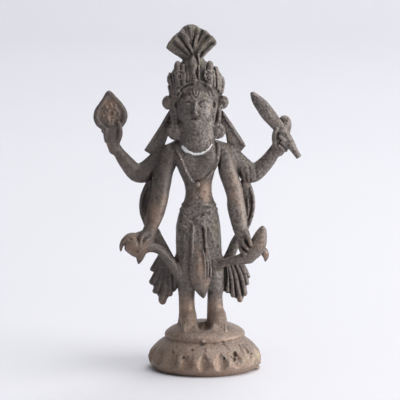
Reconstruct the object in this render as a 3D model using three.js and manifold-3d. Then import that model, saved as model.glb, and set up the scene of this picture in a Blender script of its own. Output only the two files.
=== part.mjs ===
// Small four-armed standing figure on a round lotus plinth, cast in one piece.
// Millimetres, +Z up, the figure faces -Y, +X is the viewer's right.
// The origin is the middle of the plinth's flat underside.
import * as THREE from 'three';
import { mergeVertices } from 'three/addons/utils/BufferGeometryUtils.js';
import Module from 'manifold-3d';

const wasm = await Module();
wasm.setup();

// ---------------------------------------------------------------- sizes
const HEIGHT = 120.0; // underside to the top of the fan crest
const PLINTH = {
  footR: 17.5, bellyR: 18.9, bellyZ: 3.9, neckR: 13.0, neckZ: 10.3,
  deckR: 13.7, deckZ: 13.5, petals: 18, petalDepth: 0.55,
};
const AXIS_X = -1.8; // the body leans a little to the viewer's left
const HEAD = { x: -2.9, y: -0.6, z: 91.4, rx: 6.4, ry: 6.3, rz: 8.9 };
const WAIST = { z: 60.4, rx: 4.6, ry: 3.5 };
const HIP = { z: 44.0, rx: 7.75, ry: 5.1 };
const HEM_Z = 27.0;
const LEG = { left: -5.8, right: 3.8, r: 2.65 };
const FAN = { x: -3.7, z: 106.6, thick: 2.2 };
const EMBLEM = { x: -32.2, y: -0.6, z: 89.0, w: 11.8, h: 14.1, thick: 2.6 };

// ---------------------------------------------------------------- helpers
const V = (p) => new THREE.Vector3(p[0], p[1], p[2]);

// a closed three.js geometry as a solid
function solid(geometry) {
  geometry.deleteAttribute('normal');
  geometry.deleteAttribute('uv');
  const merged = mergeVertices(geometry, 1e-4);
  const vertProperties = Float32Array.from(merged.attributes.position.array);
  const tri = [];
  const ix = merged.index.array;
  for (let i = 0; i < ix.length; i += 3) {
    const [a, b, c] = [ix[i], ix[i + 1], ix[i + 2]];
    if (a !== b && b !== c && a !== c) tri.push(a, b, c);
  }
  // turn the faces outward where a deformed shape came out mirrored
  let volume = 0;
  const at = (i) => new THREE.Vector3().fromArray(vertProperties, i * 3);
  for (let i = 0; i < tri.length; i += 3) volume += at(tri[i]).dot(at(tri[i + 1]).cross(at(tri[i + 2])));
  if (volume < 0) tri.reverse();
  return new wasm.Manifold(new wasm.Mesh({
    numProp: 3, vertProperties, triVerts: Uint32Array.from(tri),
  }));
}

// Catmull-Rom value of a list at t in 0..1
function along(list, t) {
  const n = list.length - 1;
  const f = Math.min(n - 1e-9, Math.max(0, t * n));
  const i = Math.floor(f), u = f - i;
  const p = (k) => list[Math.min(n, Math.max(0, k))];
  const [a, b, c, d] = [p(i - 1), p(i), p(i + 1), p(i + 2)];
  return 0.5 * (2 * b + (c - a) * u + (2 * a - 5 * b + 4 * c - d) * u * u
    + (3 * b - a - 3 * c + d) * u * u * u);
}

// A limb, lobe or fold: stations are [x, y, z, half width, half depth]. The
// half width lies across the path in the front plane, the half depth along
// `ref`. Ends are domed, or flat where flat[0] or flat[1] is true.
function limb(stations, { seg = 9, rows = 8, ref = [0, 1, 0], flat = [false, false], square = 0 } = {}) {
  const g = new THREE.SphereGeometry(1, seg, rows);
  const pos = g.attributes.position;
  const xs = stations.map((s) => s[0]), ys = stations.map((s) => s[1]), zs = stations.map((s) => s[2]);
  const as = stations.map((s) => s[3]), bs = stations.map((s) => s[4] ?? s[3]);
  const at = (t) => new THREE.Vector3(along(xs, t), along(ys, t), along(zs, t));
  const up = V(ref);
  for (let r = 0; r <= rows; r++) {
    const t = r === 0 ? 0 : r === rows ? 1 : (r - 1) / (rows - 2);
    const tangent = at(Math.min(1, t + 0.01)).sub(at(Math.max(0, t - 0.01))).normalize();
    const back = up.clone().addScaledVector(tangent, -up.dot(tangent)).normalize();
    const side = back.clone().cross(tangent);
    const a = along(as, t), b = along(bs, t), R = Math.min(a, b);
    const centre = at(t);
    let k = 1;
    if (r <= 1 && !flat[0]) { k = r === 0 ? 0 : 0.86; centre.addScaledVector(tangent, r === 0 ? -0.55 * R : 0); }
    else if (r >= rows - 1 && !flat[1]) { k = r === rows ? 0 : 0.86; centre.addScaledVector(tangent, r === rows ? 0.55 * R : 0); }
    else if (r === 0 || r === rows) k = 0;
    for (let c = 0; c <= seg; c++) {
      const phi = (c % seg) / seg * Math.PI * 2;
      let cx = -Math.cos(phi), cz = Math.sin(phi);
      if (square) {
        const m = Math.max(Math.abs(cx), Math.abs(cz));
        cx *= 1 + square * (1 / m - 1); cz *= 1 + square * (1 / m - 1);
      }
      const p = centre.clone().addScaledVector(side, cx * a * k).addScaledVector(back, cz * b * k);
      pos.setXYZ(r * (seg + 1) + c, p.x, p.y, p.z);
    }
  }
  return solid(g);
}

// an ellipsoid, turned about Y (lean) and Z (turn), degrees
function ball(x, y, z, rx, ry, rz, { lean = 0, turn = 0, tip = 0, seg = 10, rows = 7 } = {}) {
  const g = new THREE.SphereGeometry(1, seg, rows);
  g.rotateX(Math.PI / 2);
  g.scale(rx, ry, rz);
  g.rotateX(THREE.MathUtils.degToRad(tip));
  g.rotateY(THREE.MathUtils.degToRad(lean));
  g.rotateZ(THREE.MathUtils.degToRad(turn));
  g.translate(x, y, z);
  return solid(g);
}

// a flat outline in the front plane, rounded at its edges, thickness along Y
function plate(points, thick, y, { curved = true, bevel = 0.35, steps = 3, tilt = 0, pivot = [0, 0] } = {}) {
  const shape = new THREE.Shape();
  const pts = points.map((p) => new THREE.Vector2(p[0], p[1]));
  shape.moveTo(pts[0].x, pts[0].y);
  if (curved) shape.splineThru(pts.slice(1)); else pts.slice(1).forEach((p) => shape.lineTo(p.x, p.y));
  shape.closePath();
  const g = new THREE.ExtrudeGeometry(shape, {
    depth: thick - 2 * bevel, bevelEnabled: true, bevelThickness: bevel, bevelSize: bevel,
    bevelOffset: -bevel, bevelSegments: 1, curveSegments: steps,
  });
  g.translate(0, 0, -(thick - 2 * bevel) / 2);
  g.rotateX(Math.PI / 2);
  if (tilt) {
    g.translate(-pivot[0], 0, -pivot[1]);
    g.rotateX(THREE.MathUtils.degToRad(tilt));
    g.translate(pivot[0], 0, pivot[1]);
  }
  g.translate(0, y, 0);
  return solid(g);
}

// A closed slab with a grid of faces: at(u, v, side) gives [x, y, z] for u and
// v in -1..1, with side -1 on the front and +1 on the back.
function slab(nu, nv, at) {
  const g = new THREE.BoxGeometry(2, 2, 2, nu, 1, nv);
  const pos = g.attributes.position;
  for (let i = 0; i < pos.count; i++) {
    const p = at(pos.getX(i), -pos.getZ(i), pos.getY(i) < 0 ? -1 : 1);
    pos.setXYZ(i, p[0], p[1], p[2]);
  }
  return solid(g);
}

const parts = [];
const add = (...s) => parts.push(...s);

// ---------------------------------------------------------------- plinth
{
  const p = PLINTH;
  const profile = [
    [0, 0], [p.footR, 0], [p.footR + 1.0, 1.1], [p.bellyR, p.bellyZ], [18.0, 6.6],
    [16.0, 8.8], [p.neckR, p.neckZ], [p.deckR, 11.6], [p.deckR - 0.2, 12.8], [12.7, p.deckZ], [0, p.deckZ + 0.3],
  ].map(([r, z]) => new THREE.Vector2(r, z));
  const g = new THREE.LatheGeometry(profile, p.petals * 2);
  g.rotateX(Math.PI / 2);
  const pos = g.attributes.position;
  for (let i = 0; i < pos.count; i++) {
    const x = pos.getX(i), y = pos.getY(i), z = pos.getZ(i), r = Math.hypot(x, y);
    if (r < 1 || z < 0.5 || z > 9.6) continue;
    const swell = Math.sin(Math.PI * THREE.MathUtils.clamp((z - 0.4) / 9.2, 0, 1));
    const wave = Math.cos(p.petals * (Math.atan2(y, x) + Math.PI / 2) + Math.PI); // a rib every second step
    const k = 1 + p.petalDepth * swell * wave / r;
    pos.setXYZ(i, x * k, y * k, z);
  }
  add(solid(g));
  // a burr left on the rim at the viewer's right
  add(ball(17.9, -3.0, 0.62, 1.3, 1.6, 0.6, { seg: 6, rows: 4 }));
}

// ---------------------------------------------------------------- legs, feet
for (const [x, s] of [[LEG.left, -1], [LEG.right, 1]]) {
  add(limb([
    [x + 0.15 * s, 0.2, 29.5, 3.0, 3.3], [x, 0.4, 23.5, LEG.r, 2.9],
    [x, 0.5, 18.5, LEG.r, 2.6], [x + 0.1 * s, 0.4, 12.8, 3.1, 3.0],
  ], { seg: 9, rows: 5, flat: [true, true] }));
  // foot: a wedge whose front edge is scalloped into five toes
  add(slab(10, 3, (u, v, side) => {
    const f = (1 - v) / 2; // 0 at the heel, 1 at the toes
    const toe = 0.5 + 0.5 * Math.cos(5 * Math.PI * (u + 1) - Math.PI);
    const w = 2.1 + 0.7 * f;
    const y = 2.6 - 8.4 * f - (f > 0.9 ? 0.75 * toe - 0.9 * u * u : 0);
    const crown = (1 - 0.55 * u * u) * (2.6 - 1.7 * f) + (f > 0.6 ? 0.3 * toe : 0);
    return [x + 0.3 * s * f + u * w, y, side < 0 ? 13.2 : 13.55 + Math.max(0.25, crown)];
  }));
}

// ---------------------------------------------------------------- skirt, torso
{
  const cx = AXIS_X;
  add(limb([
    [cx - 0.2, 0.2, HEM_Z - 0.3, 7.5, 4.5], [cx - 0.2, 0.2, HEM_Z + 1.6, 8.1, 5.0], [cx - 0.1, 0.1, 33, 7.75, 5.0],
    [cx, 0, HIP.z, HIP.rx, HIP.ry], [cx, -0.1, 51.5, 7.1, 4.8], [cx + 0.1, -0.1, 54.8, 6.3, 4.4],
    [cx + 0.15, -0.1, 55.6, 6.75, 4.85], [cx + 0.15, -0.1, 57.4, 6.0, 4.4], [cx + 0.1, -0.1, WAIST.z, WAIST.rx, WAIST.ry],
    [cx, -0.1, 64.2, 4.95, 3.7], [cx - 0.25, -0.1, 68.6, 6.9, 4.3],
    [cx - 0.5, 0, 72.5, 9.2, 4.5], [cx - 0.6, 0.2, 76.2, 9.6, 4.0], [cx - 0.8, 0.3, 79.0, 6.4, 3.6],
  ], { seg: 14, rows: 15, flat: [true, false] }));
  // a fold of the skirt from each hip to the middle
  for (const k of [-1, 1]) {
    add(limb([
      [cx + k * 6.6, -2.2, 50.5, 0.8, 0.7], [cx + k * 5.0, -3.8, 45.5, 0.9, 0.7], [cx + k * 3.0, -4.6, 40.5, 0.8, 0.7],
    ], { seg: 5, rows: 4 }));
  }
}

// centre sash: five pleats that widen into a tongue
add(slab(10, 5, (u, v, side) => {
  const f = (1 - v) / 2; // 0 at the belt, 1 at the tip
  const w = f < 0.8 ? 2.0 + 2.2 * f : 3.76 - 3.0 * ((f - 0.8) / 0.2) ** 1.7;
  const foot = 25.2 + 4.0 * u * u;
  const z = 54.2 + (foot - 54.2) * f;
  const pleat = Math.cos(5 * Math.PI * (u + 1) + Math.PI);
  return [-1.9 + 1.5 * f * f + u * w, side < 0 ? -5.35 - 0.45 * Math.sin(Math.PI * f) - 0.5 * pleat + 0.9 * u * u : -3.0, z];
}));
add(ball(-1.9, -4.7, 54.9, 1.6, 1.1, 1.2, { seg: 7, rows: 4 })); // knot

// ---------------------------------------------------------------- necklaces
add(limb([
  [-9.3, -2.2, 79.2, 0.55], [-8.2, -3.7, 74.6, 0.5], [-6.0, -4.3, 69.2, 0.5], [-2.4, -4.2, 64.9, 0.6],
  [1.6, -4.3, 69.6, 0.5], [4.2, -3.7, 75.0, 0.5], [5.2, -2.2, 79.2, 0.55],
], { seg: 4, rows: 8 }));
add(ball(-2.4, -4.2, 64.2, 1.0, 0.9, 1.2, { seg: 6, rows: 4 }));
add(limb([
  [-9.0, -1.6, 80.0, 0.9], [-7.2, -4.2, 77.0, 0.95], [-2.6, -5.4, 75.1, 1.0],
  [2.2, -4.2, 77.0, 0.95], [4.0, -1.6, 80.0, 0.9],
], { seg: 6, rows: 8 }));
// neck and thick collar under the chin
add(ball(-2.8, -1.3, 79.8, 6.4, 4.3, 5.0, { seg: 10, rows: 6 }));

// ---------------------------------------------------------------- arms
// lowered front pair
add(limb([
  [-10.6, 0.3, 76.2, 3.4, 3.4], [-12.9, -0.2, 72.2, 3.5, 3.4], [-13.9, -0.9, 66.0, 3.3, 3.2],
  [-14.8, -1.8, 60.0, 3.2, 3.1], [-16.3, -3.5, 54.9, 2.9, 2.8], [-18.0, -5.2, 49.4, 2.3, 2.3],
  [-19.8, -6.2, 46.0, 2.1, 2.0],
], { seg: 8, rows: 8 }));
add(limb([
  [6.6, 0.3, 76.2, 3.4, 3.4], [8.7, -0.2, 72.2, 3.5, 3.4], [10.1, -0.9, 66.5, 3.35, 3.2],
  [11.0, -1.8, 61.5, 3.3, 3.1], [11.6, -3.5, 56.0, 3.1, 2.9], [12.8, -5.2, 49.0, 2.5, 2.4],
  [14.0, -6.2, 44.6, 2.2, 2.1],
], { seg: 8, rows: 8 }));
// raised rear pair
add(limb([
  [-9.5, 1.2, 77.0, 3.0, 3.0], [-14.5, 1.8, 73.4, 3.2, 2.9], [-19.4, 1.8, 68.8, 3.3, 2.9],
  [-23.3, 1.4, 67.4, 3.1, 2.7], [-27.2, 0.7, 71.8, 2.45, 2.3], [-31.6, 0.2, 78.4, 1.8, 1.8],
], { seg: 8, rows: 8 }));
add(limb([
  [5.0, 1.2, 77.0, 3.0, 3.0], [9.8, 1.8, 73.6, 3.2, 2.9], [14.0, 1.8, 69.4, 3.2, 2.9],
  [17.3, 1.4, 67.1, 3.05, 2.8], [21.6, 0.9, 71.4, 2.5, 2.4], [26.0, 0.8, 77.8, 1.95, 1.9],
], { seg: 8, rows: 8 }));

// ---------------------------------------------------------------- raised hands
add(ball(-31.7, 0.6, 80.6, 3.0, 2.0, 3.5, { lean: -12, seg: 8, rows: 5 }));
add(limb([[-30.2, -0.8, 78.4, 0.9], [-28.2, -1.2, 80.6, 1.0], [-28.4, -1.4, 83.2, 0.95], [-29.4, -1.6, 85.0, 0.8]], { seg: 6, rows: 5 }));
for (let i = 0; i < 3; i++) { // fingers behind the emblem
  add(limb([[-33.2 + i * 1.9, 1.2, 81.5, 0.95], [-33.9 + i * 1.9, 1.5, 84.5, 0.9], [-33.6 + i * 1.7, 1.0, 87.0, 0.75]], { seg: 5, rows: 4 }));
}
add(ball(26.7, 1.2, 80.4, 2.6, 2.0, 3.6, { lean: 14, seg: 8, rows: 5 }));
add(limb([[27.6, 1.4, 80.0, 1.5], [29.5, 1.8, 83.4, 1.6], [29.0, 1.4, 86.0, 1.3], [27.0, 0.6, 86.6, 1.1]], { seg: 7, rows: 6 }));
add(limb([[25.4, -0.4, 78.2, 1.0], [24.8, -1.6, 81.0, 1.0], [25.6, -2.6, 83.6, 0.9]], { seg: 6, rows: 5 }));

// drop-shaped emblem with a raised rim
{
  const { x, y, z, w, h, thick } = EMBLEM;
  const drop = (k) => {
    const pts = [];
    const n = 8;
    for (let i = 0; i <= n; i++) {
      const f = i / n * 1.84 - 0.92; // sweep from the top round the bottom
      const ang = -Math.PI / 2 + f * Math.PI;
      pts.push([x + k * w / 2 * Math.cos(ang), z - 1.0 + k * (h / 2 - 1.0) * Math.sin(ang)]);
    }
    const top = [x - 0.3, z + k * h / 2 + (k - 1) * 2];
    return [top, ...pts.reverse(), top];
  };
  const outer = plate(drop(1.0), thick, y, { bevel: 0.5, steps: 1, curved: false });
  const well = plate(drop(0.66), 1.2, y - thick / 2, { bevel: 0.2, steps: 1, curved: false });
  const boss = ball(x, y - 0.9, z - 0.8, 2.0, 0.8, 2.4, { seg: 8, rows: 4 });
  add(outer.subtract(well).add(boss));
}

// club, thickest a third of the way down, cut square at its foot
add(limb([
  [17.0, -1.0, 95.6, 0.35, 0.35], [18.6, -1.2, 93.2, 1.45, 1.2], [21.5, -1.5, 89.4, 2.1, 1.6],
  [25.2, -1.8, 84.4, 1.75, 1.5], [29.2, -2.0, 79.0, 1.3, 1.3], [33.2, -2.2, 73.7, 0.95, 1.0],
], { seg: 8, rows: 8, flat: [false, true] }));

// ---------------------------------------------------------------- lowered hands
add(ball(-21.4, -6.4, 45.4, 3.2, 2.4, 2.6, { lean: 10, seg: 8, rows: 5 }));
add(ball(-24.2, -8.3, 45.1, 2.4, 2.0, 2.4, { seg: 7, rows: 5 })); // round fruit
add(limb([[-21.6, -6.6, 47.4, 1.3], [-25.4, -6.9, 47.9, 1.4], [-28.0, -7.0, 45.8, 1.3], [-28.5, -7.0, 43.0, 0.6]], { seg: 7, rows: 6 }));
add(limb([[-22.6, -5.6, 43.8, 1.6], [-26.0, -6.0, 42.6, 1.4], [-27.8, -6.4, 43.2, 0.9]], { seg: 5, rows: 4 }));
add(limb([[-21.4, -6.4, 43.6, 1.9], [-22.4, -6.6, 40.6, 1.5], [-22.4, -6.4, 38.2, 0.5]], { seg: 7, rows: 5 }));

add(ball(14.9, -6.3, 43.2, 2.6, 2.3, 2.6, { seg: 8, rows: 5 }));
add(limb([
  [20.3, -7.8, 50.2, 0.5], [20.4, -7.6, 47.6, 1.75], [19.3, -7.3, 44.2, 2.35], [17.0, -6.8, 41.2, 2.25], [13.6, -6.2, 39.9, 1.5],
], { seg: 9, rows: 7 }));
add(limb([[18.0, -6.0, 41.8, 1.3], [20.9, -5.8, 41.4, 1.15], [21.8, -5.7, 39.0, 0.5]], { seg: 6, rows: 5 }));
add(limb([[13.6, -7.6, 44.4, 0.8], [15.4, -8.6, 43.4, 0.85], [17.0, -8.9, 42.4, 0.7]], { seg: 5, rows: 4 }));

// struts from the lowered hands to the hips
add(limb([[-19.0, -6.2, 43.8, 1.0], [-15.6, -6.0, 43.9, 1.15], [-12.2, -5.2, 41.4, 1.3], [-9.6, -4.0, 37.0, 1.5], [-7.6, -3.0, 32.8, 1.4]], { seg: 6, rows: 6 }));
add(limb([[14.0, -6.4, 40.0, 1.2], [10.6, -6.0, 40.3, 1.2], [7.6, -4.8, 38.6, 1.2], [4.8, -3.6, 36.0, 1.2]], { seg: 6, rows: 5 }));

// ---------------------------------------------------------------- scarf
add(limb([
  [-17.0, 2.4, 68.0, 1.3, 1.1], [-20.3, 2.8, 62.6, 1.5, 1.1], [-20.9, 2.7, 56.6, 1.5, 1.1],
  [-19.4, 2.0, 49.6, 1.4, 1.1], [-15.4, 1.2, 43.8, 1.5, 1.1], [-10.2, 0.3, 38.8, 1.8, 1.3], [-6.4, 0, 34.4, 1.6, 1.3],
], { seg: 6, rows: 8 }));
add(limb([
  [13.4, 2.4, 68.0, 1.3, 1.1], [15.7, 2.8, 62.4, 1.5, 1.1], [16.2, 2.7, 56.6, 1.5, 1.1],
  [14.4, 2.0, 49.6, 1.4, 1.1], [10.6, 1.2, 43.8, 1.6, 1.1], [7.4, 0.3, 38.6, 1.8, 1.3], [3.8, 0, 34.4, 1.6, 1.3],
], { seg: 6, rows: 8 }));
// pleated tails: folds that spread outward from the hip and end in lobes
const tail = (hub, from, to, reach, side) => add(slab(10, 3, (u, v, face) => {
  const f = (1 - v) / 2;
  const a = THREE.MathUtils.degToRad(from + (to - from) * (u + 1) / 2);
  const lobe = Math.cos(5 * Math.PI * (u + 1) + Math.PI);
  const r = 3.0 + (reach(u) - 3.0 + (f > 0.9 ? 0.7 * lobe : 0)) * f;
  const thick = 0.9 + 0.35 * f - 0.5 * Math.abs(u) * (1 - f);
  return [hub[0] + side * r * Math.cos(a), 1.7 + face * thick + (face < 0 ? -0.55 : 0.3) * lobe * f, hub[1] - r * Math.sin(a)];
}));
tail([-9.4, 41.6], 38, 92, (u) => 17.6 + 2.6 * u - 5.2 * u * u, -1);
tail([6.2, 41.4], 32, 90, (u) => 17.0 + 3.0 * u - 4.8 * u * u, 1);

// ---------------------------------------------------------------- head
{
  const { x, y, z, rx, ry, rz } = HEAD;
  add(ball(x, y, z, rx, ry, rz, { seg: 12, rows: 8 }));
  add(ball(x, y - 2.2, z - 5.2, 4.6, 4.0, 3.6, { seg: 10, rows: 6 })); // jaw
  add(limb([[x, y - 5.8, z + 3.0, 0.7, 0.6], [x, y - 7.0, z - 0.6, 0.95, 0.9], [x, y - 7.5, z - 2.0, 1.15, 0.8]], { seg: 6, rows: 5 }));
  for (const s of [-1, 1]) {
    add(limb([[x + s * 1.0, y - 5.9, z + 2.6, 0.4], [x + s * 2.8, y - 5.6, z + 3.1, 0.45], [x + s * 4.6, y - 4.2, z + 2.3, 0.35]], { seg: 5, rows: 4 }));
    add(ball(x + s * 2.6, y - 5.3, z + 1.1, 1.5, 0.9, 0.8, { turn: -14 * s, seg: 6, rows: 4 }));
    add(limb([[x + s * 6.1, y + 0.6, z + 3.2, 0.9, 1.3], [x + s * 6.6, y + 0.4, z - 0.6, 1.1, 1.4], [x + s * 6.4, y - 0.4, z - 5.0, 0.9, 1.1]], { seg: 6, rows: 5 }));
  }
  add(ball(x, y - 5.9, z - 4.6, 1.8, 0.9, 0.9, { seg: 6, rows: 4 })); // mouth
  add(ball(x, y - 5.0, z - 7.3, 1.9, 1.2, 1.2, { seg: 6, rows: 4 }));
  // forehead mark
  add(limb([[x, y - 5.0, z + 6.6, 0.7, 0.6], [x, y - 5.9, z + 4.2, 0.6, 0.6]], { seg: 5, rows: 4 }));
}
// ear ornaments: upper bosses and lower flower discs
const disc = (x, y, z, r, t, turn) => {
  const g = new THREE.LatheGeometry([[0, -t], [r, -t * 0.4], [r, t * 0.35], [r * 0.72, t], [r * 0.5, t * 0.6], [0, t * 1.15]]
    .map(([a, b]) => new THREE.Vector2(a, b)), 9);
  g.rotateX(Math.PI / 2); // axis along -Y once turned
  g.rotateX(Math.PI / 2);
  g.rotateZ(THREE.MathUtils.degToRad(turn));
  g.translate(x, y, z);
  add(solid(g));
};
disc(-9.5, -2.9, 82.7, 3.15, 1.5, -12);
disc(4.6, -2.9, 83.0, 2.9, 1.5, 12);
add(ball(-11.7, -0.4, 92.6, 2.7, 2.0, 2.5, { seg: 7, rows: 5 }));
add(ball(6.0, -0.4, 92.9, 2.6, 2.0, 2.4, { seg: 7, rows: 5 }));

// ribbons flaring from behind the ears to the shoulders
const ribbon = (top0, top1, foot0, foot1, mid) => add(slab(4, 3, (u, v, face) => {
  const f = (1 - v) / 2, e = (u + 1) / 2;
  const top = [top0[0] + (top1[0] - top0[0]) * e, top0[1] + (top1[1] - top0[1]) * e];
  const foot = e < 0.5
    ? [foot0[0] + (mid[0] - foot0[0]) * e * 2, foot0[1] + (mid[1] - foot0[1]) * e * 2]
    : [mid[0] + (foot1[0] - mid[0]) * (e - 0.5) * 2, mid[1] + (foot1[1] - mid[1]) * (e - 0.5) * 2];
  return [top[0] + (foot[0] - top[0]) * f, 1.6 + face * 1.0 + (face < 0 ? -0.5 * Math.cos(2 * Math.PI * u) * f : 0), top[1] + (foot[1] - top[1]) * f];
}));
ribbon([-12.4, 89.6], [-8.4, 87.6], [-20.3, 76.2], [-12.6, 77.0], [-17.9, 74.4]);
ribbon([4.2, 87.4], [7.0, 89.0], [9.4, 72.0], [14.6, 77.6], [11.4, 74.4]);

// ---------------------------------------------------------------- crown
{
  const x = HEAD.x;
  // tall ring of leaves around the hair, higher at the sides than in front
  const lobes = 10, seg = lobes * 2;
  const g = new THREE.SphereGeometry(1, seg, 6);
  const pos = g.attributes.position;
  const levels = [[0, 94.0], [6.4, 94.6], [7.3, 97.2], [7.5, 101.0], [6.2, 104.2], [3.6, 104.8], [0, 105.2]];
  for (let r = 0; r <= 6; r++) {
    for (let c = 0; c <= seg; c++) {
      const a = (c % seg) / seg * 2 * Math.PI;
      const lobe = c % 2 ? -1 : 1;
      const reach = levels[r][0] * (1 + (r > 1 && r < 5 ? 0.055 * lobe : 0));
      const rise = r === 4 ? 1.1 * lobe + 1.1 * Math.abs(Math.sin(a)) : 0;
      pos.setXYZ(r * (seg + 1) + c, x + reach * Math.sin(a), 0.4 - 0.92 * reach * Math.cos(a), levels[r][1] + rise);
    }
  }
  add(solid(g));
  // the band: an arch over the brow that dips to the temples
  add(limb([
    [x - 7.2, -0.8, 95.2, 0.9, 0.8], [x - 5.4, -4.6, 98.2, 1.1, 0.8], [x, -6.5, 100.6, 1.2, 0.8],
    [x + 5.2, -4.6, 98.3, 1.1, 0.8], [x + 7.0, -0.8, 95.3, 0.9, 0.8],
  ], { seg: 6, rows: 7 }));
  // side leaves, the outer ones lower
  const leaf = (px, py, z0, z1, a, b, tip = 0) => add(limb([
    [px, py, z0, a * 0.8, b * 0.8], [px + tip * 0.3, py, (z0 * 0.55 + z1 * 0.45), a, b], [px + tip, py, z1, a * 0.55, b * 0.55],
  ], { seg: 6, rows: 5 }));
  leaf(-10.9, -1.0, 96.2, 102.8, 1.9, 2.2, 0.1);
  leaf(-8.8, -2.8, 99.4, 106.2, 1.7, 1.9, -0.1);
  leaf(5.6, -1.0, 96.8, 102.8, 1.9, 2.2, -0.2);
  leaf(3.7, -2.8, 99.4, 104.8, 1.5, 1.9, 0.2);
  leaf(2.0, -3.6, 100.6, 106.2, 1.4, 1.6, 0.1);
  // knot leaf at the front, below the fan
  add(limb([[-4.1, -5.0, 103.2, 1.4, 1.4], [-3.9, -5.4, 105.4, 1.75, 1.5], [-3.6, -4.4, 108.6, 0.7, 0.8]], { seg: 8, rows: 5 }));
}

// ---------------------------------------------------------------- fan crest
{
  const { x, z, thick } = FAN;
  // seven pleats, radiating; their ends are scalloped
  const pleats = 7;
  add(slab(pleats * 2, 3, (u, v, face) => {
    const f = (v + 1) / 2; // 0 at the neck, 1 at the rim
    const a = THREE.MathUtils.degToRad(150 - 111 * (u + 1) / 2);
    const lobe = Math.cos(pleats * Math.PI * (u + 1) + Math.PI);
    const rim = 10.6 + 2.3 * Math.cos(Math.PI / 2 * u) ** 2 + 0.35 * lobe;
    const r = 1.4 + (rim - 1.4) * f;
    return [x + r * Math.cos(a), face * (0.55 + 0.5 * f) * thick / 2 * 1.15 + face * 0.32 * lobe * Math.min(1, 2 * f), z + r * Math.sin(a)];
  }));
  add(limb([[x - 0.2, 0.2, 102.0, 4.2, 4.2], [x, 0.2, 105.2, 3.2, 3.0], [x, 0.1, 108.2, 2.9, 1.7]], { seg: 8, rows: 5 }));
}

// ---------------------------------------------------------------- one casting
let whole = parts[0];
for (let i = 1; i < parts.length; i++) whole = whole.add(parts[i]);
// keep only what lies on or above the underside
{
  const floor = new THREE.BoxGeometry(200, 200, 20);
  floor.translate(0, 0, -10);
  whole = whole.subtract(solid(floor));
}
const out = whole.getMesh();
const geometry = new THREE.BufferGeometry();
const n = out.numProp;
const xyz = new Float32Array(out.vertProperties.length / n * 3);
for (let i = 0, j = 0; i < out.vertProperties.length; i += n) {
  xyz[j++] = out.vertProperties[i];
  xyz[j++] = out.vertProperties[i + 1];
  xyz[j++] = out.vertProperties[i + 2];
}
geometry.setAttribute('position', new THREE.BufferAttribute(xyz, 3));
geometry.setIndex(new THREE.BufferAttribute(Uint32Array.from(out.triVerts), 1));
geometry.computeVertexNormals();

const bronze = new THREE.MeshStandardMaterial({ color: 0x6b5d54, roughness: 0.7, metalness: 0.55 });
const figure = new THREE.Mesh(geometry, bronze);
figure.name = 'shiva_figure';

const group = new THREE.Group();
group.add(figure);
export default group;
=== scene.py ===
"""Looks of the four-armed standing figure: one cast piece, sculpted as a distance field, meshed once, with a procedural
patina that also paints light and shade into its colour.
"""

import math
import time
from concurrent.futures import ThreadPoolExecutor

import bpy
import numpy as np
import openvdb
from mathutils import Matrix, Vector


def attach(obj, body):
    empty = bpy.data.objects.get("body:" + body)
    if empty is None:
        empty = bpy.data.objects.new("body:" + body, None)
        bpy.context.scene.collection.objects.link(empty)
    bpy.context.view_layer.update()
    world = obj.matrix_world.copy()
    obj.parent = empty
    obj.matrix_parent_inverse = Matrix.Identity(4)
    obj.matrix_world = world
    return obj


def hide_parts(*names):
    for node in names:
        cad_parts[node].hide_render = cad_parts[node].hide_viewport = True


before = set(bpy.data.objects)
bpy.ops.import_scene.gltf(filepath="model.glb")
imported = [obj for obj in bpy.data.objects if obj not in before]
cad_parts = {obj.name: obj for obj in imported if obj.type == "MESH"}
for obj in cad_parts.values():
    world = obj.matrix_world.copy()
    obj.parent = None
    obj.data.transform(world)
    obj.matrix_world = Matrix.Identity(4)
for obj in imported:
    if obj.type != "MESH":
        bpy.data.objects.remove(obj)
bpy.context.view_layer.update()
T0 = time.time()
F = np.float32


def say(*words):
    print("[figure %.1fs]" % (time.time() - T0), *words, flush=True)


# ------------------------------------------------------------------ reference view
# The camera that the photograph was taken with, in millimetres. Its 400 x 400
# frame is used to place details, so that each sits where the picture shows it.
ELEV = math.radians(8.0)
DIST = 900.0
AIM = np.array([-1.2, 0.0, 58.7])
FOCAL = 2608.7  # in units of one four-hundredth of the frame
PX = 0.345  # millimetres across one such unit at the figure
_c, _s = math.cos(ELEV), math.sin(ELEV)
EYE = AIM + DIST * np.array([0.0, -_c, _s])


def S(u, v, y=0.0):
    """The point at depth y that the reference view shows at (u, v)."""
    d = ((u - 200.0) / FOCAL, _c + _s * (200.0 - v) / FOCAL, -_s + _c * (200.0 - v) / FOCAL)
    t = (y - EYE[1]) / d[1]
    return (EYE[0] + d[0] * t, y, EYE[2] + d[2] * t)


def seen_at(p):
    """(u, v) of points (n, 3) in the reference view."""
    q = p - EYE
    depth = q[:, 1] * _c - q[:, 2] * _s
    return 200.0 + FOCAL * q[:, 0] / depth, 200.0 - FOCAL * (q[:, 1] * _s + q[:, 2] * _c) / depth


def rows(*pts):
    """Stations (u, v, half width in frame units, y, half depth in mm) as (x, y, z, a, b)."""
    out = []
    for p in pts:
        u, v, hw, y = p[:4]
        x, _, z = S(u, v, y)
        out.append((x, y, z, hw * PX, p[4] if len(p) > 4 else hw * PX))
    return out


# ------------------------------------------------------------------ distance field kit
def smin(a, b, k):
    if k <= 0:
        return np.minimum(a, b)
    h = np.maximum(k - np.abs(a - b), 0) * F(1 / k)
    return np.minimum(a, b) - h * h * F(k * 0.25)


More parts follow.
